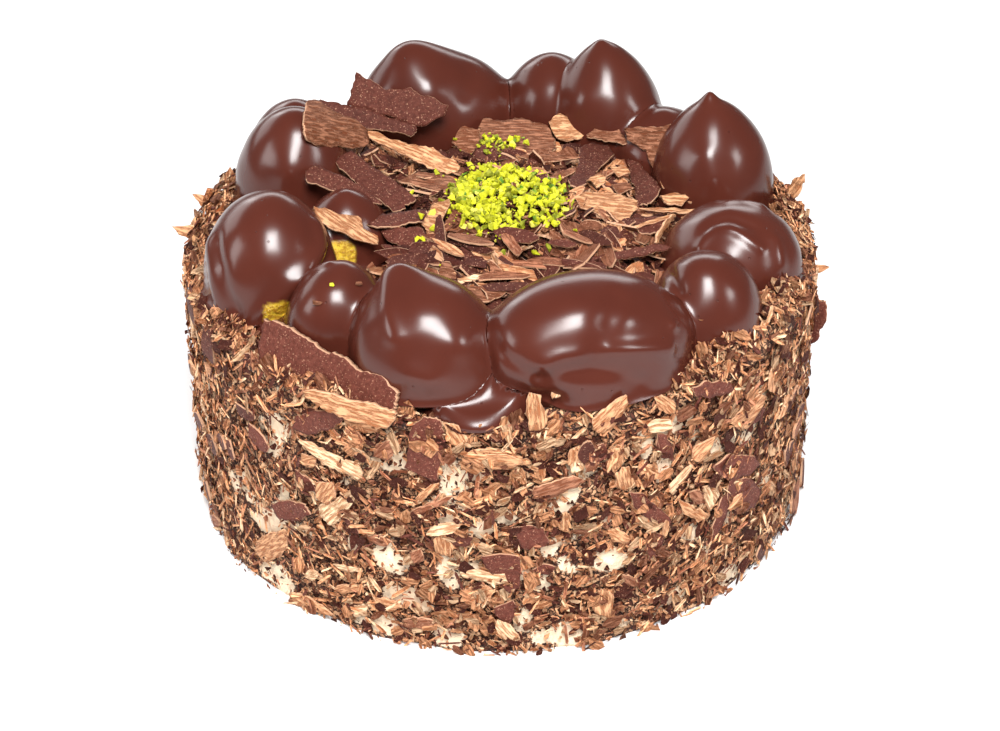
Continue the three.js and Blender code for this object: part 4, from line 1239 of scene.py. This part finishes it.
# The larger flakes on the side and the rim that the photo shows: angle round the cake and
# height of the middle in degrees and millimetres, how far out from the side it lies, how
# far it tips back, the turn of its length from the level, and its outline.
sideFlakes = listRows("angle height out tilt spin tone curl outline", [
    (-119.9, 67.0, 2.5, 0, -11, "light", 10, [(-12, 0.1), (-8.2, 1.8), (-1.5, 1.7), (4.5, 2.1),
     (9.6, 3.6), (12, 0.5), (11.2, -2.6), (6.5, -2.8), (-0.1, -3.6), (-5.6, -2.3)]),
    (-102.4, 79.0, 2.5, 0, 84, "dark", 6, [(8, 4.4), (11.9, 1.4), (12.1, -3.1), (6.5, -5.3), (0.9, -5.2),
     (-4, -5.1), (-12.1, -4.2), (-10.5, 0.6), (-9.7, 5.2), (-1.9, 5.3), (3.7, 5.2)]),
    (-121.9, 79.5, 2.5, 0, 32, "dark", 6, [(-8.2, 3.2), (0.4, 3.5), (10.9, 2), (12.2, -0.9), (4, -3.2),
     (-7.9, -3.5), (-12.2, 0)]),
    (-121.5, 53.3, 2.5, 0, 59, "tan", 15, [(0.6, 3.9), (5.3, -0.6), (2, -3.9), (-3.7, -3.8),
     (-5.3, 0.8)]),
    (-118.6, 50.2, 2.5, 0, 51, "light", 20, [(-7.8, 4), (-1.5, 1.9), (3.4, 1.3), (10.7, 0.1),
     (5.4, -2.2), (-4.9, -4), (-10.5, -3.1), (-10.7, 1)]),
    (-129.3, 39.0, 2.5, 0, 28, "dark", 6, [(-8.9, 2.9), (1.1, 3.9), (8.9, 1.7), (8.8, -1.5),
     (-0.1, -3.9), (-8.5, -2.4)]),
    (-137.1, 60.0, 2.5, 0, -17, "dark", 6, [(-5.3, 2.7), (2, 3.8), (5.3, 1.7), (5.2, -2), (-0.1, -3.8),
     (-4.3, -1.8)]),
    (-134.8, 19.7, 2.5, 0, 46, "tan", 12, [(-6.5, 4.5), (2.7, 3.9), (12.6, 1.7), (8.8, -2.6), (1, -4.5),
     (-9.3, -3.7), (-12.6, 0.7)]),
    (-125.5, 53.5, 2.5, 0, -22, "dark", 6, [(-4.6, 1.4), (1.2, 2.6), (4.6, -0.4), (0.7, -2.6),
     (-3.4, -2.1)]),
    (-92.8, 31.5, 2.5, 0, -8, "light", 8, [(-7.8, 0.7), (-2.8, 2.4), (6.4, 1.9), (7.8, -0.8),
     (3.6, -2.4), (-3.4, -1.5), (-6.9, -1.4)]),
    (-88.7, 34.2, 2.5, 0, -64, "dark", 6, [(-8.7, -5.6), (-7.5, 0.1), (-3.2, 5.6), (8.7, -0.2),
     (8.5, -3.9), (1.7, -4.4), (-3.8, -5.5)]),
    (-91.0, 76.2, 2.5, 0, -6, "tan", 10, [(-8.9, 1.1), (-3.4, 1.7), (3.1, 3.2), (8.9, 0.5), (5.8, -2),
     (1.5, -3.2), (-4.2, -1.8), (-7.5, -1.5)]),
    (-102.5, 62.1, 2.5, 0, 50, "tan", 10, [(-4.9, 1.2), (4.5, 1.3), (5.7, -0.6), (1.2, -1.3),
     (-5.7, -0.9)]),
    (-101.6, 57.7, 2.5, 0, 35, "brown", 6, [(-7.8, 0.9), (1, 1.3), (8, 0.2), (7.2, -0.9), (-0.6, -1),
     (-8, -1.3)]),
    (-97.7, 85.2, 2.5, 0, -61, "tan", 15, [(-5.2, -0.7), (-2.3, 2.7), (3.2, 3.4), (5.2, -0.3),
     (1.7, -3.4)]),
    (-115.1, 78.4, 2.5, 0, -56, "brown", 8, [(-4.2, 0.3), (-0.9, 2.5), (3.8, 2.2), (4.2, -1.2),
     (-0.3, -2.5)]),
    (-109.7, 75.6, 2.5, 0, 47, "brown", 8, [(0.3, 3.3), (4.9, 1.1), (4.4, -2.6), (-1.8, -3.3),
     (-4.9, 0.3)]),
    (-113.5, 82.3, 2.5, 0, 5, "tan", 8, [(-6.1, 1.4), (1.5, 2.2), (6.1, -0.2), (-0.3, -2.2),
     (-5.2, -1.1)]),
    (-111.3, 40.1, 2.5, 0, -4, "brown", 8, [(-4.4, 1.6), (0.6, 2), (4.4, 1.1), (2, -2), (-3, -1.6)]),
    (-117.5, 25.3, 2.5, 0, 14, "light", 8, [(-5.3, 1), (4.5, 1.4), (5.3, -0.6), (-1.9, -1.4)]),
    (-117.5, 16.8, 2.5, 0, 30, "tan", 8, [(-5.2, 1.4), (3.8, 1.8), (5.2, -1), (-3.2, -1.8)]),
    (-89.2, 18.1, 2.5, 0, 70, "dark", 8, [(-0.3, 3.5), (4.4, -0.9), (0.6, -3.5), (-4.4, -2.9),
     (-4.1, 0.9)]),
    (-93.9, 24.0, 2.5, 0, 25, "tan", 12, [(-2.8, 3.5), (3.5, 3.4), (5.7, 0.1), (2.8, -3.5), (-2.1, -3.1),
     (-5.7, -0.1)]),
    (-126.0, 3.7, 2.5, 0, 5, "tan", 10, [(-9.2, 0.7), (-2.7, 2.6), (4.9, 1.1), (9.2, -0.9), (1.2, -2.6),
     (-8.2, -2.6)]),
    (-115.2, 9.8, 2.5, 0, 19, "light", 8, [(-2.9, 2.2), (3.2, 1.5), (2.5, -2.1), (-3.2, -2.2)]),
    (-110.0, 14.6, 2.5, 0, 4, "tan", 8, [(-5.2, 2.3), (3, 2.5), (5.2, 0.1), (-0.1, -2.5), (-4.9, -0.6)]),
    (-103.8, 10.0, 2.5, 0, 13, "brown", 8, [(-6, 2), (0.4, 2.6), (6, 0.2), (0.3, -2.6), (-5.7, -1.7)]),
    (-124.5, 62.3, 2.5, 0, 27, "tan", 8, [(-2.6, 3), (3.5, 0.7), (-0.2, -3), (-3.5, -1.5)]),
    (-104.3, 37.0, 2.5, 0, 51, "brown", 8, [(-1.1, 2.8), (3.2, 1), (1.2, -2.8), (-3.2, -1)]),
    (-99.7, 43.1, 2.5, 0, -85, "tan", 10, [(-2.3, -3.3), (-4.6, 1.5), (0.3, 3.3), (4.6, 1.8),
     (3.4, -2.8)]),
    (-84.0, 93.9, 2.5, 0, -85, "tan", 10, [(-7.3, -2), (-6.5, 1.1), (-1.7, 1.4), (2.9, 3.1), (6.9, 1.1),
     (7.3, -3.1), (-0.2, -2.9)]),
    (-71.5, 89.5, 2.5, 0, 44, "tan", 14, [(-4.9, 3.8), (2.2, 3.2), (7.4, 1), (5.6, -1.9), (-1.6, -3.8),
     (-6.9, -2.2), (-7.4, 1.1)]),
    (-61.5, 87.9, 2.5, 0, -48, "tan", 10, [(-5.4, -0.6), (-3.9, 1.8), (3.2, 2.6), (5.4, -0.5),
     (2.4, -2.6), (-3, -1.6)]),
    (-51.6, 86.5, 2.5, 0, -21, "dark", 6, [(-9.7, 0.8), (-3.7, 3.1), (7.3, 2.3), (9.7, -0.9),
     (0.9, -3.1), (-6.7, -2.1)]),
    (-77.3, 74.1, 2.5, 0, -88, "tan", 8, [(-4.9, -2.6), (-6.1, 2.7), (1.9, 1.8), (6.1, 0.2),
     (0.2, -2.7)]),
    (-80.3, 65.0, 2.5, 0, 18, "brown", 6, [(-8.4, 0), (-7.5, 2.9), (-0.5, 2.9), (5.7, 2.5), (8.4, -0.3),
     (5.5, -2.3), (-0.9, -2.6), (-7.4, -2.9)]),
    (-63.8, 49.7, 2.5, 0, -51, "dark", 6, [(-12, 0.2), (-5.7, 2.4), (3.7, 2.3), (11.1, 1.7), (12, -1.2),
     (3, -2.4), (-5.2, -2.3)]),
    (-61.0, 71.7, 2.5, 0, -65, "dark", 6, [(-7.3, -0.7), (-4.7, 1.9), (2.5, 1.3), (7.3, 0), (2.5, -1.8),
     (-2.6, -1.9)]),
    (-64.1, 64.0, 2.5, 0, -44, "tan", 8, [(-5.8, 1.5), (1.8, 2.8), (5.8, 0), (1.7, -2.8), (-3.8, -2.3)]),
    (-44.2, 49.8, 2.5, 0, -27, "dark", 6, [(-13.4, 0.6), (-8, 4.5), (5.8, 4.2), (13.4, 1.2), (9.7, -2.1),
     (-0.2, -4.5), (-7.9, -2.9)]),
    (-42.0, 37.3, 2.5, 0, -43, "dark", 6, [(-12.2, 1.5), (0, 5.9), (11.4, 3), (12.2, -1.9), (4, -5.9),
     (-7.8, -3.7)]),
    (-42.0, 67.8, 2.5, 0, 2, "tan", 10, [(-9.6, 3.2), (-2.7, 4.6), (5.3, 5.4), (9.6, 2.2), (5.8, -1.8),
     (-0.1, -5.4), (-6.4, -0.9)]),
    (-47.9, 33.9, 2.5, 0, 75, "dark", 6, [(-9.1, 0.8), (1.4, 2.6), (7.7, 1.9), (9.1, -1.4), (3.1, -2.6),
     (-4, -2.2)]),
    (-54.9, 42.7, 2.5, 0, -45, "tan", 8, [(-9.1, 1), (-0.9, 1.1), (9.1, 1.8), (6.6, -1.4),
     (-2.5, -1.8)]),
    (-50.4, 45.3, 2.5, 0, -66, "light", 8, [(-5.7, -1.5), (-1.2, 3.2), (3.3, 2.4), (5.7, -3),
     (-1.2, -3.2)]),
    (-62.5, 35.0, 2.5, 0, -79, "dark", 8, [(-6.5, -1), (-1.4, 3.3), (5.3, 1.6), (6.5, -2.2),
     (-1, -3.3)]),
    (-69.4, 42.6, 2.5, 0, -39, "tan", 8, [(-5.1, -1.1), (-2.8, 2.3), (4.7, 0.7), (5.1, -0.7),
     (-0.5, -2.3)]),
    (-85.0, 47.2, 2.5, 0, -45, "dark", 6, [(-6.5, -1.7), (-4, 2.6), (0.8, 4.7), (6.5, 2.5), (6, -2),
     (1.7, -4.7)]),
    (-82.5, 33.6, 2.5, 0, -12, "dark", 6, [(-3.6, -0.4), (-0.4, 2.2), (3.6, 1.1), (1.8, -2.2)]),
    (-72.2, 16.3, 2.5, 0, -88, "tan", 8, [(-6.2, -0.6), (-5.4, 2), (-1.6, 4), (6.2, 2.5), (3.1, -2),
     (-0.7, -4)]),
    (-74.0, 74.7, 2.5, 0, 64, "dark", 8, [(1.8, 3.1), (4.9, -0.2), (2, -3.1), (-1.5, -1.4),
     (-4.9, 0.3)]),
    (-70.4, 72.3, 2.5, 0, -80, "tan", 8, [(-4.8, -2.2), (-3.7, 2.2), (2.7, 2.5), (4.8, -1.6),
     (0.5, -2.5)]),
    (-53.6, 47.1, 2.5, 0, -51, "brown", 8, [(-5.3, -1.2), (-0.9, 2.5), (5.3, 0), (1.8, -2.5)]),
    (-78.9, 51.3, 2.5, 0, -88, "tan", 8, [(-4.1, -1), (-3.6, 1.4), (4.1, 1.2), (2.8, -1.4)]),
    (-52.8, 65.0, 2.5, 0, 23, "tan", 8, [(-3, 3.9), (5.2, 1), (2.4, -2), (-3.4, -3.9), (-5.2, 0.2)]),
    (-68.9, 63.8, 2.5, 0, -77, "tan", 8, [(-4.5, -1.8), (-4.5, 2.8), (2.8, 2.7), (4.5, -0.3),
     (0.7, -2.8)]),
    (-83.8, 90.8, -1.7, 30, -81, "tan", 14, [(-5.9, -1.2), (-5.2, 2), (-0.6, 1.3), (2.9, 2.6),
     (5.9, 1.8), (5.7, -2.6), (-0.5, -2.4)]),
    (-71.0, 86.2, -1.7, 30, 27, "tan", 14, [(-6.8, 1.4), (-4.8, 2.6), (2.1, 2.4), (6.8, 1.6),
     (5.7, -1.5), (2.9, -2.2), (-2.6, -2.5), (-5.7, -2.6)]),
    (-59.9, 84.4, -1.8, 35, -43, "light", 20, [(-4.3, -0.7), (-1.7, 2.1), (2.7, 2.3), (4.3, 0.1),
     (2.6, -2.3), (-0.2, -1.2)]),
    (-106.2, 93.1, -2.8, 20, -82, "tan", 50, [(-7.3, -2.1), (-6.5, 0.7), (-1.9, 1.4), (0.8, 2.7),
     (6.4, 1.5), (7.3, -0.9), (4.6, -2.7)]),
    (-97.6, 82.9, 0.4, 10, -43, "light", 14, [(-4.9, -0.5), (-3.2, 2.9), (0.1, 2.1), (2.6, 3.4),
     (4.9, 2.3), (4.3, -2.2), (0.4, -3.4)]),
    (-90.3, 76.7, 2.4, 5, -2, "tan", 10, [(-10.1, 1.6), (-5.2, 3.3), (0.1, 3.5), (6.4, 1.6),
     (10.1, -0.9), (6.6, -2), (1.2, -2.2), (-5.1, -3.5), (-9.5, -3.1)]),
    (-80.5, 95.9, -3.6, 50, 60, "light", 60, [(0.3, 1.8), (1.9, -0.5), (-0.1, -1.8), (-1.9, -0.1)]),
    (-75.7, 94.1, -3.6, 50, 16, "light", 60, [(-3.3, 0.7), (0.4, 2), (3.3, 0.7), (2.9, -1.1), (0.4, -2),
     (-2.3, -1.3)]),
    (-77.5, 88.4, -0.6, 40, -7, "tan", 20, [(-3.6, 0.7), (0.1, 2), (3.2, 1.1), (3.6, -1.2), (-0.1, -2),
     (-2.8, -1.1)]),
    (-78.6, 85.3, 0.4, 30, -6, "brown", 20, [(-3.7, 0.9), (0, 2.2), (3.6, 1.3), (3.7, -1.4), (0, -2.2),
     (-2.7, -1.3)]),
    (-77.5, 74.7, 2.4, 5, 85, "light", 10, [(2.8, 2.6), (4.2, -1), (5.1, -2), (-4.3, -2.6), (-5.1, 1)]),
    (-73.9, 74.9, 2.4, 10, 56, "brown", 10, [(-2.4, 2.4), (2.2, 1.9), (5.8, -0.3), (3.7, -1.7),
     (-4.7, -2.4), (-5.8, 0.3)]),
    (-70.9, 73.5, 2.4, 10, 63, "tan", 10, [(-1.6, 1.7), (2.3, 2.4), (5.1, -0.6), (3.6, -2.4),
     (-2.7, -2.1), (-5.1, -0.5)]),
    (-61.1, 71.2, 2.4, 5, -62, "dark", 8, [(-5.1, -0.4), (-0.5, 1.9), (5.1, -0.5), (2.1, -1.9),
     (-3.7, -1.8)]),
    (-69.2, 81.5, -0.7, 35, -3, "tan", 12, [(-2.8, 2.5), (3, 2), (3.4, -1.3), (-0.7, -2.5),
     (-3.4, -1.1)]),
    (-64.9, 75.9, 0.4, 20, 5, "light", 8, [(-4.4, 1.5), (4.4, 1.3), (4.4, -0.7), (-1.5, -1.5),
     (-4.4, -0.5)]),
    (-55.8, 91.4, -3.9, 55, 19, "tan", 20, [(-7.9, 0.9), (-1.8, 1), (8.3, 0.4), (6.3, -0.5), (-2.5, -1),
     (-8.3, -0.7)]),
    (-56.6, 92.8, -3.7, 55, 16, "light", 20, [(-4.7, 0.8), (4.9, 0.6), (4.3, -0.7), (-4.9, -0.8)]),
    (-55.4, 83.8, -2.6, 45, 23, "dark", 8, [(-1, 2), (2.4, 0.8), (0.6, -2), (-2.4, -0.5)]),
])  # fmt: skip
# plates that stick out of the side or stand on the rim
standingPlates = listRows("at turn pitch lean tone curl outline", [
    ((103.6, -8, 61.5), -8, 70, 82, "dark", 8, [(-10, -3), (-4, -4.5), (5, -4), (10, -1), (9, 3),
     (2, 4.5), (-6, 4), (-10, 1)]),
    ((103.6, -2, 79), 0, 10, 75, "tan", 14, [(-5, -1.5), (1, -2.2), (5.5, 0), (2, 1.6), (-4, 2)]),
    ((99, 24, 95), -20, 60, 75, "tan", 20, [(-6, -1.6), (0, -2.4), (7, 0.4), (2, 2), (-5, 1.6)]),
    ((-102.4, 7, 88), 170, 16, -70, "tan", 14, [(-6, -2.6), (2, -2), (7, 0.2), (2, 2.4), (-5, 2.8)]),
    ((-99, 26, 88), 165, 30, -70, "tan", 14, [(-5, -2), (2, -1.6), (6, 0.6), (1, 2.2), (-5, 2)]),
])  # fmt: skip
# small shavings that fell on the glaze: size and tone
strayShavings = listRows("at size tone", [
    ((-55.2, -68.3, 109.2), 4.5, "brown"),
    ((-43.2, -62.7, 112.4), 3.5, "brown"),
    ((60.7, -67.7, 103.0), 3.0, "tan"),
    ((74.8, 10.4, 110.4), 2.5, "tan"),
    ((62.6, -69.3, 93.4), 5.0, "tan"),
    ((65.6, -69.5, 95.4), 5.0, "brown"),
    ((59.7, -69.3, 90.6), 4.5, "light"),
])  # fmt: skip


def makeSideFlakes():
    rng = np.random.default_rng(17)
    parts = []
    for flake in sideFlakes:
        angle, tilt, spin = (math.radians(flake[name]) for name in ("angle", "tilt", "spin"))
        outward = np.array([math.cos(angle), math.sin(angle), 0])
        level = np.array([-math.sin(angle), math.cos(angle), 0])
        facing = math.cos(tilt) * outward + [0, 0, math.sin(tilt)]
        upward = math.cos(tilt) * np.array([0, 0, 1.0]) - math.sin(tilt) * outward
        along = math.cos(spin) * level + math.sin(spin) * upward
        at = outward * (side["radius"] + flake["out"]) + [0, 0, flake["height"]]
        lying = np.stack([along, np.cross(facing, along), facing])
        parts.append(shapePlate({**flake, "at": at, "thickness": 0.7}, rng, 1.4, lying))
    parts += [shapePlate(plate, rng) for plate in standingPlates]
    joinParts("sideFlakes", parts, shavingFinish, "side_shavings", smooth=True)


def makeStrays():
    rng = np.random.default_rng(29)
    place = np.array([stray["at"] for stray in strayShavings])
    normal = unit(rng.normal(0, 0.3, place.shape) + [0, -0.3, 1])
    size = np.array([[stray["size"]] for stray in strayShavings]) * [1, 0.6, 0.14]
    tones = np.array([shavingTones[stray["tone"]] for stray in strayShavings])
    flat = np.zeros((len(place), 2))
    parts = stampMany(chips, place, anyWay(rng, normal), normal, size, flat, tones, rng)
    joinParts("strayShavings", parts, shavingFinish, "heap_shavings")


makeHeapCore()
makeHeap()
makeSideFlakes()
makeStrays()
print("heap made")


# The chopped nuts

nuts = {"middle": (2, 2), "foot": 101.6, "size": (22, 24, 5.8), "grains": 560, "bits": 420}
nutTones = [
    paint(204, 204, 30), paint(168, 170, 18), paint(224, 212, 90), paint(112, 118, 16), paint(74, 120, 26),
]  # fmt: skip
# grains that lie apart from the mound, and how large they are
strayNuts = listRows("at size", [
    ((-29, 4, 105), 3.4),
    ((-21, 17, 105.5), 2.6),
    ((-19, 15, 105), 1.8),
    ((-25, -9, 104.5), 4.2),
    ((-22, -8, 104.5), 4.0),
    ((-22, -15, 103.5), 4.2),
    ((-19.5, -14, 103.5), 3.4),
    ((-26.5, -21, 102.6), 3.2),
    ((-24.5, -21.5, 102.8), 3.0),
    ((-24, -23, 102.2), 2.6),
    ((-10, -15, 104), 3.6),
    ((-5, -15.5, 104), 3.6),
    ((24, -17, 103.5), 2.0),
    ((-51, -65, 113.6), 1.8),
    ((-41, 20, 102.1), 1.4),
])  # fmt: skip


def moundHeight(x, y):
    reach = np.hypot((x - nuts["middle"][0]) / nuts["size"][0], (y - nuts["middle"][1]) / nuts["size"][1])
    return nuts["foot"] + nuts["size"][2] * np.clip(1 - reach**2, 0, 1) ** 0.7


def placeNuts(rng, count, straying):
    # places over the mound, and a few out on the heap round it
    angle = rng.uniform(-math.pi, math.pi, count)
    reach = np.sqrt(rng.random(count)) * rng.uniform(0.75, 1.02, count)
    stray = rng.random(count) < straying
    reach[stray] += rng.exponential(0.16, stray.sum())
    x = nuts["middle"][0] + nuts["size"][0] * reach * np.cos(angle)
    y = nuts["middle"][1] + nuts["size"][1] * reach * np.sin(angle)
    z = np.maximum(moundHeight(x, y), heapHeight(x, y) + 2.4) + rng.uniform(-1.0, 0.8, count)
    return np.stack([x, y, z], axis=-1)


def makeNuts():
    rng = np.random.default_rng(5)
    shapes = [crumbShape(rng, 9) for i in range(8)]
    place = placeNuts(rng, nuts["grains"], 0.1)
    cluster = np.array([0, 38, 105.0]) + rng.normal(0, (5, 3.2, 0.5), (60, 3))
    bits = placeNuts(rng, nuts["bits"], 0.2)
    strays = np.array([spot["at"] for spot in strayNuts])
    leftness = smoothStep(10, -16, place[:, 0])
    girth = rng.uniform(2.1, 4.1, len(place)) + 1.4 * leftness * rng.random(len(place))
    girth = np.concatenate([
        girth, rng.uniform(1.3, 3.0, len(cluster)), rng.uniform(0.6, 1.5, len(bits)),
        [spot["size"] for spot in strayNuts],
    ])  # fmt: skip
    place = np.concatenate([place, cluster, bits, strays])
    count = len(place)
    normal = unit(rng.normal(size=(count, 3)))
    size = girth[:, None] * rng.uniform(0.6, 1.15, (count, 3))
    tones = np.array(nutTones)[rng.choice(len(nutTones), count, p=[0.42, 0.29, 0.08, 0.15, 0.06])]
    tones = tones * (0.88 + rng.normal(0, 0.1, (count, 1)))
    parts = stampMany(shapes, place, anyWay(rng, normal), normal, size, np.zeros((count, 2)), tones, rng)
    joinParts("pistachios", parts, nutFinish, "pistachio", ["pistachio_heap"])


makeNuts()
print("nuts made")


# The two long pieces at the rim

rimPieces = {
    "sidePlate": {
        "node": "side_plate", "slot": "dark_plate", "tone": "dark", "curl": 6, "thickness": 2.0,
        "at": (-52.5, -82.5, 93.2), "turn": -35, "pitch": 1.6, "lean": 68,
        "outline": [(-27.5, 8.5), (-20, 9.5), (-12, 8.3), (-4, 6.0), (4, 6.2), (12, 4.5), (20, 5.5),
                    (27, 1.5),
                    (26, -4), (18, -7.5), (8, -9), (0, -9.5), (-8, -9), (-17, -8), (-25, -5), (-27.5, 2)],
    },
    "sidePlank": {
        "node": "side_plank", "slot": "tan_plate", "tone": "tan", "curl": 10, "thickness": 1.8,
        "at": (-45.5, -95, 88.5), "turn": -26, "pitch": 3.5, "lean": 72,
        "outline": [(-16, 2.8), (-8, 3.6), (0, 2.6), (8, 3.4), (15, 2.6), (16, 0), (12, -3.4), (2, -3.6),
                    (-6, -2.2), (-12, -0.6), (-16, 0.8)],
    },
}  # fmt: skip


def makeRimPieces():
    rng = np.random.default_rng(8)
    for name, piece in rimPieces.items():
        part = shapePlate(piece, rng, 1.1)
        joinParts(name, [part], shavingFinish, piece["slot"], [piece["node"]], smooth=True)


makeRimPieces()


# how high the shavings bank up round the top, lowest at the front where the pool shows
rimCrest = {
    "around": [-180, -140, -120, -108, -100, -91, -86, -82, -76, -68, -60, -50, -35, -20, 0, 30, 180],
    "height": [91, 91, 90, 88.5, 86, 86, 88, 91, 93.5, 92, 93, 96, 97.5, 97.5, 95, 92, 91],
    "level": 86.6,  # where the bank starts, inside and outside
    "inner": 89.5,
    "width": 14.5,
}  # fmt: skip
rimCore = {"inner": 88.5, "outer": 103.4, "foot": 84, "sunk": 1.6, "steps": 360}
rimLayers = [
    {"name": "rimSlivers", "shapes": splinters, "count": 6200, "lean": 0.4, "lift": (-1.6, 1.2),
     "size": ((2, 7), (0.12, 0.35), (0.3, 0.7), 1.4), "tones": (0.2, 0.28, 0.34, 0.18)},
    {"name": "rimBits", "shapes": bits, "count": 5000, "lean": 0.5, "lift": (-1.4, 0.8),
     "size": ((0.8, 3.4), (0.45, 0.95), (0.3, 0.8), 1.4), "tones": (0.18, 0.26, 0.36, 0.2)},
    {"name": "rimFlakes", "shapes": chips, "count": 1100, "lean": 0.45, "lift": (-1.0, 1.6),
     "size": ((3, 11), (0.3, 0.7), (0.4, 0.8), 1.7), "tones": (0.3, 0.22, 0.32, 0.16)},
]  # fmt: skip


def rimHeight(angle, reach):
    level = rimCrest["level"]
    crest = np.interp(np.degrees(angle), rimCrest["around"], rimCrest["height"])
    crest = crest + 0.9 * np.sin(9 * angle + 1) + 0.6 * np.sin(23 * angle)
    across = (reach - rimCrest["inner"]) / rimCrest["width"]
    return level + (crest - level) * np.sin(np.clip(across, 0, 1) * math.pi) ** 0.8


def overPool(angle, reach, outer):
    # 1 where the pool runs out to the rim at the front
    return bell(np.degrees(angle) + 96, 10) * smoothStep(outer, 98, reach)


def layOnRim(rng, layer):
    count = layer["count"]
    size = sizes(rng, count, *layer["size"])
    angle = rng.uniform(-math.pi, math.pi, count)
    reach = rng.uniform(90, 103.6, count)
    clear = rng.random(count) < 1 - 0.9 * overPool(angle, reach, 100)
    angle, reach, size = angle[clear], reach[clear], size[clear]
    height = rimHeight(angle, reach) + rng.uniform(*layer["lift"], len(angle))
    place = np.stack([reach * np.cos(angle), reach * np.sin(angle), height], axis=-1)
    keep = ~insidePuffs(place + [0, 0, 0.4], 1.03)
    place, size = place[keep], size[keep]
    count = len(place)
    normal = unit(np.stack([place[:, 0], place[:, 1], np.full(count, 70.0)], axis=-1))
    slopes = rng.normal(0, layer["lean"], (2, count))
    along, tipped = leaning(normal, anyWay(rng, normal), *slopes)
    tones = pickTones(rng, count, layer["tones"], 0.14)
    bends = rng.normal(0, 0.12, (count, 2))
    parts = stampMany(layer["shapes"], place, along, tipped, size, bends, tones, rng)
    joinParts(layer["name"], parts, shavingFinish, "side_shavings")


def makeRimCore():
    # the crumbs under the loose shavings of the rim
    inner, outer, foot = rimCore["inner"], rimCore["outer"], rimCore["foot"]
    profile = [(inner, foot)] + [(r, foot + 2) for r in np.linspace(inner, outer, 12)]
    bm = spinProfile(profile + [(outer, foot), (inner, foot)], rimCore["steps"])
    points, reach, angle = cornersRound(bm)
    upper = points[:, 2] > foot + 1
    crest = rimHeight(angle, reach) - rimCore["sunk"] + 0.5 * wave(points, 3)
    points[upper, 2] = (crest - 3.5 * overPool(angle, reach, 101))[upper]
    points[:, :2] *= (1 + (0.6 * wave(points, 5) - 0.8) / reach)[:, None]
    skinToObject("rimCore", bm, points, "crumb", 1, (creamFinish, "side_shavings"), [])


def makeRim():
    rng = np.random.default_rng(14)
    for layer in rimLayers:
        layOnRim(rng, layer)


makeRimCore()
makeRim()
print("rim made")


# The floor, the light and the camera


def makeFloor():
    bm = bmesh.new()
    bmesh.ops.create_grid(bm, x_segments=1, y_segments=1, size=6)
    mesh = bpy.data.meshes.new("floor")
    bm.to_mesh(mesh)
    bm.free()
    finish = Finish("paleFloor", roughness=0.6, specular=0.2)
    finish.wear(Base_Color=(0.86, 0.86, 0.86, 1))
    mesh.materials.append(finish.material)
    floor = bpy.data.objects.new("floor", mesh)
    bpy.context.collection.objects.link(floor)
    floor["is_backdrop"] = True


# places and sizes in metres
lights = listRows("name place size watts aim", [
    ("window", (0.05, -0.62, 0.93), (0.38, 0.42), 20.5, (0, 0, 0.09)),
    ("rightFill", (0.85, -0.45, 0.6), (0.25, 0.25), 3.2, (0, 0, 0.08)),
    ("leftFill", (-0.95, -0.35, 0.5), (0.4, 0.4), 3.6, (0, 0, 0.05)),
    ("backTop", (-0.1, 1.15, 0.62), (1.4, 0.4), 8, (0, 0, 0.09)),
    ("backLeft", (-0.85, 0.7, 0.5), (0.9, 0.5), 4.5, (0, 0, 0.09)),
])  # fmt: skip


def makeLights():
    for spec in lights:
        data = bpy.data.lights.new(spec["name"], "AREA")
        data.shape = "RECTANGLE"
        data.size, data.size_y = spec["size"]
        data.energy = spec["watts"]
        light = bpy.data.objects.new(spec["name"], data)
        light.location = spec["place"]
        away = Vector(spec["aim"]) - Vector(spec["place"])
        light.rotation_euler = away.to_track_quat("-Z", "Y").to_euler()
        bpy.context.collection.objects.link(light)
    world = bpy.data.worlds.new("studio")
    world.use_nodes = True
    world.node_tree.nodes["Background"].inputs["Color"].default_value = (1, 1, 1, 1)
    world.node_tree.nodes["Background"].inputs["Strength"].default_value = 0.14
    bpy.context.scene.world = world
    bpy.context.scene.view_settings.view_transform = "Standard"


# the photo looks down on the cake along +Y
view = {"elevation": 34.6, "distance": 0.84, "target": (-0.0001, 0, 0.03906), "lens": 88.5}


def makeCamera():
    data = bpy.data.cameras.new("camera")
    data.lens = view["lens"]
    data.sensor_width = 36
    data.clip_end = 20
    camera = bpy.data.objects.new("camera", data)
    rise = math.radians(view["elevation"])
    back = Vector((0, -math.cos(rise), math.sin(rise))) * view["distance"]
    camera.location = Vector(view["target"]) + back
    camera.rotation_euler = (-back).to_track_quat("-Z", "Y").to_euler()
    bpy.context.collection.objects.link(camera)
    bpy.context.scene.camera = camera


makeFloor()
makeLights()
makeCamera()

low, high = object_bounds()
sizes = [[list(cadLow), list(cadHigh)], [list(low), list(high)]]
print("scene ready")
